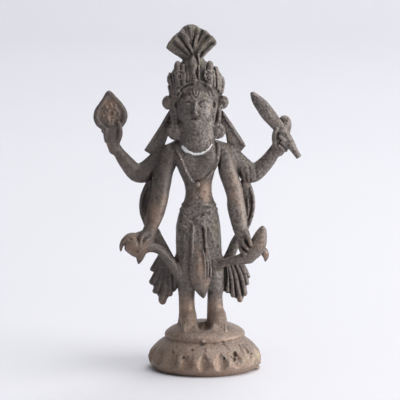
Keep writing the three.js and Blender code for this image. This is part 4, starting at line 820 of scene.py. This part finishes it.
# ------------------------------------------------------------------ crest: seven folds fanned from the neck
fan = Group(0.2)
FAN_EDGE = [(166.2, 47.8), (167.0, 45.0), (168.4, 42.4), (170.4, 40.2), (171.6, 38.6), (174.2, 35.6), (177.0, 33.0), (179.4, 31.6), (181.2, 29.4), (184.2, 26.2), (188.4, 24.4), (193.0, 24.1), (196.6, 25.5), (199.0, 27.6), (201.6, 28.4), (205.0, 30.2), (208.8, 33.0), (210.0, 34.8), (213.2, 37.0), (215.4, 39.6), (216.8, 42.2), (216.0, 44.2), (212.6, 46.6), (208.4, 50.0), (205.0, 53.4), (202.9, 57.1), (202.4, 61), (199.6, 66), (188, 66), (184.4, 61.8), (182.0, 59.2), (178.6, 56.4), (174.2, 54.2), (169.2, 50.6)]
fan_edge = [(S(u, v, 0.2)[0], S(u, v, 0.2)[2]) for u, v in FAN_EDGE]
hub = S(193.6, 62.0, 0.2)


def fan_half(x, z):
    r = np.sqrt((x - F(hub[0])) ** 2 + (z - F(hub[2])) ** 2)
    return (F(0.75) + F(0.035) * r).astype(F)


fan.add(Plate(fan_edge, 0.3, fan_half, edge=0.45), k=0)
# panels that overlap like shingles: (root, middle, tip) with half widths, and their depths
for (u0, v0, w0), (u1, v1, w1), (u2, v2, w2), yy in [
    ((187.0, 58.6, 2.8), (179.2, 51.0, 5.0), (171.2, 45.2, 4.6), -0.15),
    ((190.4, 56.0, 1.8), (182.8, 46.4, 3.4), (175.4, 37.6, 3.8), -0.55),
    ((192.2, 53.0, 1.4), (187.6, 42.4, 2.6), (182.6, 31.6, 2.8), -0.95),
    ((191.2, 42.0, 0.7), (190.4, 35.4, 3.6), (189.8, 28.2, 5.2), -0.75),
    ((194.2, 52.0, 1.1), (195.6, 41.6, 1.8), (198.4, 30.6, 2.4), -1.15),
    ((195.4, 53.0, 1.3), (199.6, 42.6, 2.2), (205.2, 32.6, 3.0), -0.6),
    ((197.6, 55.0, 1.6), (203.4, 46.4, 2.8), (211.2, 38.0, 3.2), -0.95),
    ((200.6, 57.6, 1.9), (206.8, 50.2, 2.4), (214.2, 43.2, 2.3), -0.5),
]:
    fan.add(Limb(rows((u0, v0, w0, yy - 0.3, 0.85), (u1, v1, w1, yy, 0.85), (u2, v2, w2, yy, 0.85)), n=5), k=0.08)
    fan.add(Limb(rows((u0, v0, w0 * 1.1, 0.8, 0.9), (u1, v1, w1 * 1.05, 0.9, 0.7), (u2, v2, w2, 0.9, 0.75)), n=4), k=0.35)
for pts, r in [  # raised hems
    ([(191.4, 55.4), (184.0, 47.4), (175.2, 39.6)], 0.28), ([(193.4, 53.6), (190.8, 43.4), (186.6, 36.0), (181.0, 32.0)], 0.3),
    ([(191.2, 42.4), (192.8, 37.0), (195.9, 29.6)], 0.26), ([(196.6, 53.0), (201.4, 44.0), (207.4, 33.8)], 0.24), ([(199.6, 55.4), (205.8, 47.6), (214.6, 40.4)], 0.26),
]:
    fan.add(stroke(fan, pts, r, 0.0), k=0.18)
for pts, r in [  # creases
    ([(188.6, 56.4), (181.6, 49.8), (172.6, 42.0)], 0.34), ([(192.4, 55.4), (186.6, 46.0), (178.4, 35.6)], 0.3), ([(193.4, 51.6), (197.0, 40.0), (201.8, 29.6)], 0.5),
    ([(194.8, 53.0), (200.2, 43.4), (209.4, 34.4)], 0.45), ([(198.6, 57.6), (204.4, 49.4), (207.2, 46.2), (215.4, 40.0)], 0.62), ([(187.2, 27.6), (188.6, 33.6), (191.0, 41.0)], 0.28), ([(192.2, 27.2), (192.2, 33.6), (191.4, 40.6)], 0.22),
]:
    fan.cut(stroke(fan, pts, r, 0.0), k=0.22)

# ------------------------------------------------------------------ the whole casting
whole = Group(0.45)
whole.add(plinth, k=0)
whole.add(legs, k=0.9)
whole.add(torso, k=1.0)
whole.add(sash, k=0.25)
whole.add(arm_rl, arm_rr, k=0.7)
whole.add(arm_fl, arm_fr, k=0.45)
whole.add(scarf_l, scarf_r, k=0.35)
whole.add(tail_l, tail_r, k=0.3)
whole.add(strut_l, strut_r, k=0.8)
whole.add(hand_fl, hand_fr, k=0.6)
whole.add(hand_rl, hand_rr, k=0.6)
whole.add(club, k=0.3)
whole.add(emblem, k=0.3)
whole.add(chest, k=0.3)
whole.add(ribbons, k=0.35)
whole.add(headall, k=0.35)
whole.add(orn, k=0.25)
whole.add(fan, k=0.5)
# collar edge under the neck mass, then the long necklace
COLLAR = [(181.0, 145.6), (183.6, 148.6), (187.0, 151.2), (191.6, 153.2), (197.0, 154.4), (203.0, 153.2), (208.4, 149.6), (212.6, 144.4)]
whole.add(stroke(whole, COLLAR, 0.45, -0.12), k=0.35)
NECKLACE = [(177.4, 151.0), (180.2, 157.0), (182.1, 161.6), (184.4, 167.4), (187.0, 172.8), (189.8, 178.0), (193.4, 182.6), (197.6, 184.4)]
CORD = [(217.9, 144.5), (218.2, 152.6), (217.0, 160.6), (213.2, 169.9), (206.6, 177.9), (201.6, 182.0), (197.6, 184.4)]
whole.add(stroke(whole, NECKLACE, 0.5, 0.05), k=0.15)
whole.add(stroke(whole, CORD, 0.72, 0.2), k=0.2)
h = hit(whole, 197.6, 184.6)
whole.add(Ball((h[0], h[1], h[2]), (0.85, 0.6, 1.1)), k=0.2)
whole.cut(Half((0, 0, 0.0), (0, 0, -1), (-40, -40, -5), (40, 40, 0.0)), k=0)
say("shapes", len(whole.ops))

# ------------------------------------------------------------------ grid
H = 0.2  # mm between grid points
BLOCK = 16
LO = np.array([-39.2, -20.8, -1.2])
HI = np.array([35.4, 20.8, 121.4])
N = (np.ceil((HI - LO) / H / BLOCK).astype(int)) * BLOCK
AX = [(LO[i] + np.arange(N[i]) * H).astype(F) for i in range(3)]
nb = N // BLOCK
mids = [AX[i].reshape(-1, BLOCK).mean(1) for i in range(3)]
GX, GY, GZ = np.meshgrid(*mids, indexing="ij")


def coarse(part):
    return whole.at(GX.ravel()[part], GY.ravel()[part], GZ.ravel()[part])


cuts = np.array_split(np.arange(GX.size), 16)
with ThreadPoolExecutor(4) as pool:
    centre = np.concatenate(list(pool.map(coarse, cuts))).reshape(GX.shape)
field = np.empty(tuple(N), F)
half_diag = H * BLOCK * math.sqrt(3) / 2
busy = np.argwhere(np.abs(centre) < half_diag * 1.15 + 0.7)
field[:] = np.repeat(np.repeat(np.repeat(centre, BLOCK, 0), BLOCK, 1), BLOCK, 2)
say("grid", tuple(N), "blocks", len(busy), "of", GX.size)


def fine(block):
    s = [slice(b * BLOCK, (b + 1) * BLOCK) for b in block]
    ax = [AX[i][s[i]] for i in range(3)]
    lo = np.array([a[0] for a in ax])
    hi = np.array([a[-1] for a in ax])
    X = np.repeat(ax[0], BLOCK * BLOCK)
    Y = np.tile(np.repeat(ax[1], BLOCK), BLOCK)
    Z = np.tile(ax[2], BLOCK * BLOCK)
    field[s[0], s[1], s[2]] = whole.at(X, Y, Z, lo, hi).reshape(BLOCK, BLOCK, BLOCK)


with ThreadPoolExecutor(4) as pool:
    list(pool.map(fine, busy, chunksize=8))
say("field")


# ------------------------------------------------------------------ noise and sampling
LAT = (np.random.default_rng(5).random((48, 48, 48)) * 2 - 1).astype(F)


def noise(p, size, off=0.0):
    q = p / size + off
    i = np.floor(q).astype(np.int64)
    f = (q - i).astype(F)
    f = f * f * (3 - 2 * f)
    i %= 48
    j = (i + 1) % 48
    out = 0
    for a in (0, 1):
        for b in (0, 1):
            for c in (0, 1):
                w = (f[:, 0] if a else 1 - f[:, 0]) * (f[:, 1] if b else 1 - f[:, 1]) * (f[:, 2] if c else 1 - f[:, 2])
                out = out + w * LAT[(j if a else i)[:, 0], (j if b else i)[:, 1], (j if c else i)[:, 2]]
    return out


def sample(p):
    q = (p - LO) / H
    q = np.clip(q, 0, np.array(N) - 1.001)
    i = q.astype(np.int64)
    f = (q - i).astype(F)
    out = 0
    for a in (0, 1):
        for b in (0, 1):
            for c in (0, 1):
                w = (f[:, 0] if a else 1 - f[:, 0]) * (f[:, 1] if b else 1 - f[:, 1]) * (f[:, 2] if c else 1 - f[:, 2])
                out = out + w * field[i[:, 0] + a, i[:, 1] + b, i[:, 2] + c]
    return out


def vertex_normals(v, t):
    n = np.cross(v[t[:, 1]] - v[t[:, 0]], v[t[:, 2]] - v[t[:, 0]])
    out = np.zeros_like(v)
    for k in range(3):
        for c in range(3):
            out[:, c] += np.bincount(t[:, k], n[:, c], len(v))
    return out / np.maximum(np.linalg.norm(out, axis=1, keepdims=True), 1e-12)


# ------------------------------------------------------------------ surface
grid = openvdb.FloatGrid(0.8)
grid.copyFromArray(np.clip(field, -0.8, 0.8))
grid.transform = openvdb.createLinearTransform(voxelSize=1.0)
pts, tris, quads = grid.convertToPolygons(0.0, 0.0)
verts = np.asarray(pts, float) * H + LO
t0 = np.asarray(quads, np.int64)
faces = [t0[:, [0, 1, 2]], t0[:, [0, 2, 3]]]
if len(tris):
    faces.append(np.asarray(tris, np.int64))
faces = np.concatenate(faces)
volume = np.einsum("ij,ij->i", verts[faces[:, 0]], np.cross(verts[faces[:, 1]], verts[faces[:, 2]])).sum() / 6
if volume < 0:
    faces = faces[:, ::-1]
say("surface", len(verts), "points", len(faces), "triangles", round(abs(volume) / 1000, 2), "cm3")

# keep the one outer shell: labels spread over the edges until they settle
label = np.arange(len(verts))
edge_a = np.concatenate([faces[:, 0], faces[:, 1], faces[:, 2]])
edge_b = np.concatenate([faces[:, 1], faces[:, 2], faces[:, 0]])
for _ in range(400):
    low = np.minimum(label[edge_a], label[edge_b])
    new = label.copy()
    np.minimum.at(new, edge_a, low)
    np.minimum.at(new, edge_b, low)
    new = new[new]
    if (new == label).all():
        break
    label = new
names, counts = np.unique(label[faces[:, 0]], return_counts=True)
say("shells", dict(zip(names.tolist()[:12], counts.tolist()[:12])))
faces = faces[label[faces[:, 0]] == names[counts.argmax()]]
used = np.unique(faces)
remap = np.full(len(verts), -1)
remap[used] = np.arange(len(used))
verts, faces = verts[used], remap[faces]

# a hand-made, cast surface: slow waviness and fine grain
nrm = vertex_normals(verts, faces)
wave = 0.055 * noise(verts, 3.1) + 0.04 * noise(verts, 1.5, 9.3) + 0.028 * noise(verts, 0.75, 21.7)
pits = np.clip(noise(verts, 0.55, 31.1) - 0.42, 0, 1) * 0.22
soft = np.clip((verts[:, 2] - 0.2) / 0.6, 0, 1)
verts = verts + nrm * ((wave - pits) * soft)[:, None]
verts[:, 2] = np.where(np.abs(verts[:, 2]) < 0.06, 0.0, np.maximum(verts[:, 2], 0.0))
say("grain")


def make_mesh(name, v, t):
    me = bpy.data.meshes.new(name)
    me.vertices.add(len(v))
    me.vertices.foreach_set("co", np.ascontiguousarray(v, F).ravel())
    me.loops.add(len(t) * 3)
    me.loops.foreach_set("vertex_index", np.ascontiguousarray(t, np.int32).ravel())
    me.polygons.add(len(t))
    me.polygons.foreach_set("loop_start", np.arange(0, len(t) * 3, 3, dtype=np.int32))
    me.update(calc_edges=True)
    me.validate()
    return me


figure = bpy.data.objects.new("figure", make_mesh("figure", verts * 0.001, faces))
bpy.context.scene.collection.objects.link(figure)
goal = 195000
if len(faces) > goal:
    mod = figure.modifiers.new("thin", "DECIMATE")
    mod.ratio = goal / len(faces)
    mod.use_collapse_triangulate = True
    done = bpy.data.meshes.new_from_object(figure.evaluated_get(bpy.context.evaluated_depsgraph_get()))
    figure.modifiers.clear()
    old, figure.data = figure.data, done
    bpy.data.meshes.remove(old)
    figure.data.name = "figure"
me = figure.data
me.polygons.foreach_set("use_smooth", np.ones(len(me.polygons), bool))
say("thinned", len(me.vertices), len(me.polygons))

# ------------------------------------------------------------------ what the patina and the painted light and shade follow
V = np.zeros(len(me.vertices) * 3, F)
me.vertices.foreach_get("co", V)
V = V.reshape(-1, 3).astype(float) * 1000
T = np.zeros(len(me.polygons) * 3, np.int32)
me.loops.foreach_get("vertex_index", T)
NV = vertex_normals(V, T.reshape(-1, 3).astype(np.int64))
occ = sum(w * np.clip(1 - sample(V + NV * d) / d, 0, 1.4) for d, w in ((0.45, 0.3), (1.0, 0.4), (2.2, 0.3)))
ridge = np.clip((sample(V - NV * 0.8) + 0.8) / 0.8, 0, 1)
U_, V_ = seen_at(V)


def spot(u, v, ru, rv, ang=0.0, soft=1.0):
    """A soft oval patch, 1 in its middle, placed in the reference view."""
    a = math.radians(ang)
    du, dv = U_ - u, V_ - v
    x, y = du * math.cos(a) + dv * math.sin(a), -du * math.sin(a) + dv * math.cos(a)
    return np.exp(-(((x / ru) ** 2 + (y / rv) ** 2) ** soft))


def step(x, a, b):
    t = np.clip((x - a) / (b - a), 0, 1)
    return t * t * (3 - 2 * t)


def near(pts, reach):
    """Closeness to a drawn line of (u, v) points, 1 on it and 0 beyond reach."""
    best = np.full(len(V), 1e9)
    path = smooth_rows([(p[0], p[1]) for p in pts], 6)
    for a, b in zip(path[:-1], path[1:]):
        e = b - a
        t = np.clip(((U_ - a[0]) * e[0] + (V_ - a[1]) * e[1]) / (e @ e), 0, 1)
        best = np.minimum(best, np.hypot(U_ - a[0] - t * e[0], V_ - a[1] - t * e[1]))
    return np.clip(1 - best / reach, 0, 1)


z_, x_, y_ = V[:, 2], V[:, 0], V[:, 1]
front = step(-NV[:, 1], -0.25, 0.25)
low = 1 - step(z_, 19, 30)
warm = 0.12 + 0.75 * low
warm = np.maximum(warm, 0.95 * spot(206, 192, 8, 13, 0, 1.5) * front)  # belly
warm = np.maximum(warm, 0.6 * spot(203, 190, 16, 16, 0, 1.5) * front)
warm = np.maximum(warm, 0.7 * spot(201, 270, 9, 26) * front)  # sash
warm = np.maximum(warm, 0.6 * spot(134, 245, 20, 17))  # lowered hands
warm = np.maximum(warm, 0.6 * spot(252, 246, 20, 20))
warm = np.maximum(warm, 1.0 * spot(265.5, 255, 4, 5))
warm = np.maximum(warm, 0.65 * spot(156, 212, 12, 26, 12))
warm = np.maximum(warm, 0.55 * spot(234, 190, 10, 34, -14))
warm = np.maximum(warm, 0.55 * spot(110, 112, 15, 16))
warm = np.maximum(warm, 0.6 * spot(246, 180, 4, 9, -10))
warm = np.maximum(warm, 0.45 * spot(104, 150, 12, 30, -30))
# painted shade: this mask darkens the shaded left side (the left tail, the left upper arm, the left elbow loop and
# forearm), the straps behind the lowered hands and the bowl between the feet; its parts on the chest and down the
# crown's middle are dark stains
dark = 0.35 * spot(196, 150, 26, 34, 0, 1.6) + 0.7 * spot(160, 282, 14, 24, 0, 1.4) + 0.55 * spot(190, 75, 9, 14) + 0.5 * spot(158, 170, 18, 24, 20)
dark = dark + 0.75 * near([(150, 190), (147, 205), (149, 222)], 5) + 0.7 * near([(162, 190), (159, 206), (156, 222)], 3.2) * front
dark = np.clip(dark + 0.5 * near([(163, 238), (172, 262)], 5) + 0.6 * near([(233, 238), (228, 256)], 5) + 0.5 * spot(204, 326, 8, 7), 0, 1)
# painted light: this grey mask also grows towards the viewer's right, where the key light falls, and is cut back on the
# shaded left above the plinth; its spots on the right side of the face and on the sash knot are painted highlights,
# while its spot on the neck mass and its rise on upward faces are grey dust
dust = 0.35 + 0.25 * step(x_, -6, 12) + 0.5 * spot(207, 118, 12, 22) * front + 0.6 * spot(204, 141, 10, 9) * front + 0.35 * spot(200, 225, 24, 20) * front
dust = dust + 0.3 * step(NV[:, 2], 0.1, 0.9) - 0.25 * step(-x_, 8, 22) * (1 - low)
dust = np.clip(dust, 0, 1)
chalk = near([(185.6, 150.2), (191.0, 152.8), (196.6, 154.2), (204.0, 152.6)], 2.2)
chalk = np.maximum(chalk, near([(182.8, 147.2), (186.4, 150.6)], 3.3))
chalk = np.maximum(chalk, 0.9 * near([(204.0, 152.6), (208.6, 149.2), (212.0, 144.8)], 1.5)) * front
chalk = np.maximum(chalk, 0.42 * near(NECKLACE, 2.0) * front)
chalk = np.maximum(chalk, 0.34 * spot(204, 142, 9, 8) * front)
green = 0.5 * spot(199, 28, 6, 5) + 0.45 * spot(205, 47, 6, 10, 35) + 0.5 * spot(201.6, 63, 3.5, 3.5) + 0.3 * spot(169, 42, 5, 6) + 0.45 * spot(256, 357, 5, 8) + 0.3 * spot(217, 225, 6, 22) + 0.25 * spot(163, 352, 10, 12)
for name, data in (("cavity", occ), ("ridge", ridge), ("warm", warm), ("dark", dark), ("dust", dust), ("chalk", chalk), ("verdigris", np.clip(green, 0, 1))):
    a = me.attributes.new(name, "FLOAT", "POINT")
    a.data.foreach_set("value", data.astype(F))
say("attributes", "cavity", np.percentile(occ, [5, 50, 95]).round(2), "ridge", np.percentile(ridge, [5, 50, 95]).round(2))


# ------------------------------------------------------------------ patina, with painted light and shade in its colour
class Nodes:
    def __init__(self, name):
        self.mat = bpy.data.materials.new(name)
        self.mat.use_nodes = True
        self.t = self.mat.node_tree
        self.shader = next(n for n in self.t.nodes if n.type == "BSDF_PRINCIPLED")

    def new(self, kind, **props):
        n = self.t.nodes.new(kind)
        for k, v in props.items():
            setattr(n, k, v)
        return n

    def put(self, socket, value):
        if isinstance(value, bpy.types.NodeSocket):
            self.t.links.new(value, socket)
        else:
            socket.default_value = value

    def math(self, op, a, b=0.0, c=0.0, clamp=False):
        n = self.new("ShaderNodeMath", operation=op, use_clamp=clamp)
        for s, v in zip(n.inputs, (a, b, c)):
            self.put(s, v)
        return n.outputs[0]

    def attr(self, name):
        return self.new("ShaderNodeAttribute", attribute_name=name).outputs["Fac"]

    def noise(self, vec, scale, detail=3.0, rough=0.55, distort=0.0):
        n = self.new("ShaderNodeTexNoise", noise_dimensions="3D")
        self.put(n.inputs["Vector"], vec)
        n.inputs["Scale"].default_value = scale
        n.inputs["Detail"].default_value = detail
        n.inputs["Roughness"].default_value = rough
        n.inputs["Distortion"].default_value = distort
        return n.outputs["Fac"] if "Fac" in n.outputs else n.outputs[0]

    def ramp(self, x, a, b, lo=0.0, hi=1.0):
        n = self.new("ShaderNodeMapRange", interpolation_type="SMOOTHSTEP", clamp=True)
        for s, v in zip(n.inputs, (x, a, b, lo, hi)):
            self.put(s, v)
        return n.outputs[0]

    def mix(self, f, a, b, mode="MIX"):
        n = self.new("ShaderNodeMix", data_type="RGBA", blend_type=mode, clamp_factor=True)
        cols = [s for s in n.inputs if s.type == "RGBA"]
        self.put(n.inputs[0], f)
        for s, v in zip(cols, (a, b)):
            self.put(s, v if isinstance(v, bpy.types.NodeSocket) else (*v, 1.0))
        return next(s for s in n.outputs if s.type == "RGBA")


m = Nodes("old_bronze")
coord = m.new("ShaderNodeTexCoord").outputs["Object"]
mm = m.new("ShaderNodeVectorMath", operation="SCALE")
m.put(mm.inputs[0], coord)
mm.inputs["Scale"].default_value = 1000.0
mm = mm.outputs[0]
cavity, ridge_a = m.attr("cavity"), m.attr("ridge")
warm_a, stain_and_shade_attr, dust_and_light_attr, chalk_a, green_a = (m.attr(n) for n in ("warm", "dark", "dust", "chalk", "verdigris"))
n_big = m.noise(mm, 0.16, 3.0)
n_mid = m.noise(mm, 0.5, 4.0, 0.6)
n_speck = m.noise(mm, 1.15, 3.0, 0.65)
n_fine = m.noise(mm, 2.4, 2.0, 0.6)

# bare alloy: black-brown to warm brown
wmask = m.math("ADD", warm_a, m.math("MULTIPLY", m.math("SUBTRACT", n_big, 0.5), 1.3))
wmask = m.math("ADD", wmask, m.math("MULTIPLY", m.math("SUBTRACT", n_mid, 0.5), 0.7))
base = m.mix(m.ramp(wmask, 0.1, 1.0), (0.085, 0.068, 0.060), (0.285, 0.180, 0.120))
# patchy lighter brown
base = m.mix(m.ramp(n_mid, 0.5, 0.72, 0.0, 0.4), base, (0.20, 0.158, 0.130))
# grey dust on what stands up and where it has settled, and painted light: the same grey laid on the lit right side and
# as painted highlights on the face and the sash knot
dmask = m.math("MULTIPLY", m.ramp(n_speck, 0.34, 0.66), m.math("ADD", dust_and_light_attr, m.math("MULTIPLY", ridge_a, 0.35)))
base = m.mix(m.math("MULTIPLY", dmask, 0.8, clamp=True), base, (0.40, 0.355, 0.325))
# dark patina in the hollows, dark stains, and painted shade on the shaded left side, behind the lowered hands and
# between the feet
hollow = m.math("MULTIPLY", m.ramp(cavity, 0.14, 0.7), m.ramp(n_mid, 0.25, 0.6, 0.5, 0.92))
base = m.mix(m.math("MAXIMUM", hollow, m.math("MULTIPLY", stain_and_shade_attr, 0.65), clamp=True), base, (0.040, 0.032, 0.029))
# salt and pepper; the light grains follow the same dust and painted light mask, so they are also denser on the lit
# right side
base = m.mix(m.math("MULTIPLY", m.ramp(n_fine, 0.6, 0.76, 0.0, 0.6), m.math("ADD", dust_and_light_attr, 0.15)), base, (0.55, 0.52, 0.50))
base = m.mix(m.ramp(n_fine, 0.44, 0.30, 0.0, 0.5), base, (0.030, 0.025, 0.023))
# verdigris
base = m.mix(m.math("MULTIPLY", green_a, m.ramp(n_mid, 0.35, 0.6), clamp=True), base, (0.300, 0.300, 0.190))
# chalky deposit
cmask = m.ramp(m.math("ADD", chalk_a, m.math("MULTIPLY", m.math("SUBTRACT", n_fine, 0.5), 1.1)), 0.38, 0.62)
cmask = m.math("MULTIPLY", cmask, m.ramp(chalk_a, 0.05, 0.3))
base = m.mix(cmask, base, (0.86, 0.86, 0.85))
m.put(m.shader.inputs["Base Color"], base)
rough = m.math("ADD", m.ramp(n_speck, 0.3, 0.7, 0.36, 0.62), m.math("MULTIPLY", cmask, 0.35), clamp=True)
m.put(m.shader.inputs["Roughness"], rough)
m.shader.inputs["Metallic"].default_value = 0.35
m.shader.inputs["Specular IOR Level"].default_value = 0.5
height = m.math("ADD", m.math("MULTIPLY", n_fine, 0.5), m.math("MULTIPLY", n_speck, 0.8))
height = m.math("ADD", height, m.math("MULTIPLY", m.noise(mm, 5.0, 2.0), 0.25))
bump = m.new("ShaderNodeBump")
bump.inputs["Strength"].default_value = 0.6
bump.inputs["Distance"].default_value = 0.00025
m.put(bump.inputs["Height"], height)
m.put(m.shader.inputs["Normal"], bump.outputs[0])
me.materials.clear()
me.materials.append(m.mat)
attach(figure, "root")
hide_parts("shiva_figure")

# ------------------------------------------------------------------ floor and backdrop, one sweep
def sweep():
    prof = [(-1.6, 0.0), (1.5, 0.0)]
    prof += [(1.5 + 0.7 * math.sin(a), 0.7 - 0.7 * math.cos(a)) for a in np.linspace(0, math.pi / 2, 17)[1:]]
    prof += [(2.2, 3.0)]
    v = [(x, y, z) for x in (-2.5, 2.5) for y, z in prof]
    n = len(prof)
    f = [(i, i + n, i + n + 1, i + 1) for i in range(n - 1)]
    me = bpy.data.meshes.new("sweep")
    me.from_pydata(v, [], f)
    me.polygons.foreach_set("use_smooth", [True] * len(f))
    o = bpy.data.objects.new("sweep", me)
    bpy.context.scene.collection.objects.link(o)
    s = Nodes("pale_paper")
    g = s.noise(s.new("ShaderNodeTexCoord").outputs["Object"], 3.0, 2.0)
    s.put(s.shader.inputs["Base Color"], s.mix(g, (0.805, 0.80, 0.835), (0.835, 0.83, 0.86)))
    s.shader.inputs["Roughness"].default_value = 0.85
    s.shader.inputs["Specular IOR Level"].default_value = 0.2
    me.materials.append(s.mat)
    return o


sweep()


# ------------------------------------------------------------------ light and camera
def area(name, at, to, size, power, colour, tall=None):
    d = bpy.data.lights.new(name, "AREA")
    d.shape, d.size, d.energy, d.color = "RECTANGLE" if tall else "DISK", size, power, colour
    if tall:
        d.size_y = tall
    o = bpy.data.objects.new(name, d)
    o.location = at
    o.rotation_euler = (Vector(to) - Vector(at)).to_track_quat("-Z", "Y").to_euler()
    bpy.context.scene.collection.objects.link(o)
    return o


area("key", (1.1, -0.3, 0.29), (0, 0, 0.06), 1.4, 15.5, (1.0, 0.985, 0.965), 0.4)
area("top", (0.35, -0.1, 1.7), (0.05, 0.1, 0.0), 1.9, 21.5, (0.97, 0.975, 1.0))
area("wash", (0.5, 1.3, 1.7), (0.0, 1.9, 0.1), 1.0, 12.0, (0.97, 0.975, 1.0))
world = bpy.data.worlds.new("room")
bpy.context.scene.world = world
world.use_nodes = True
bg = world.node_tree.nodes["Background"]
bg.inputs["Color"].default_value = (0.93, 0.95, 1.0, 1.0)
bg.inputs["Strength"].default_value = 0.2

cam_data = bpy.data.cameras.new("camera")
cam_data.sensor_width = 36.0
cam_data.lens = FOCAL / 400.0 * 36.0
cam_data.clip_start, cam_data.clip_end = 0.05, 20.0
cam = bpy.data.objects.new("camera", cam_data)
cam.location = Vector(EYE * 0.001)
cam.rotation_euler = (Vector(AIM * 0.001) - cam.location).to_track_quat("-Z", "Y").to_euler()
bpy.context.scene.collection.objects.link(cam)
bpy.context.scene.camera = cam
bpy.context.scene.view_settings.view_transform = "Standard"
bpy.context.scene.view_settings.look = "None"

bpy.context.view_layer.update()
say("done")
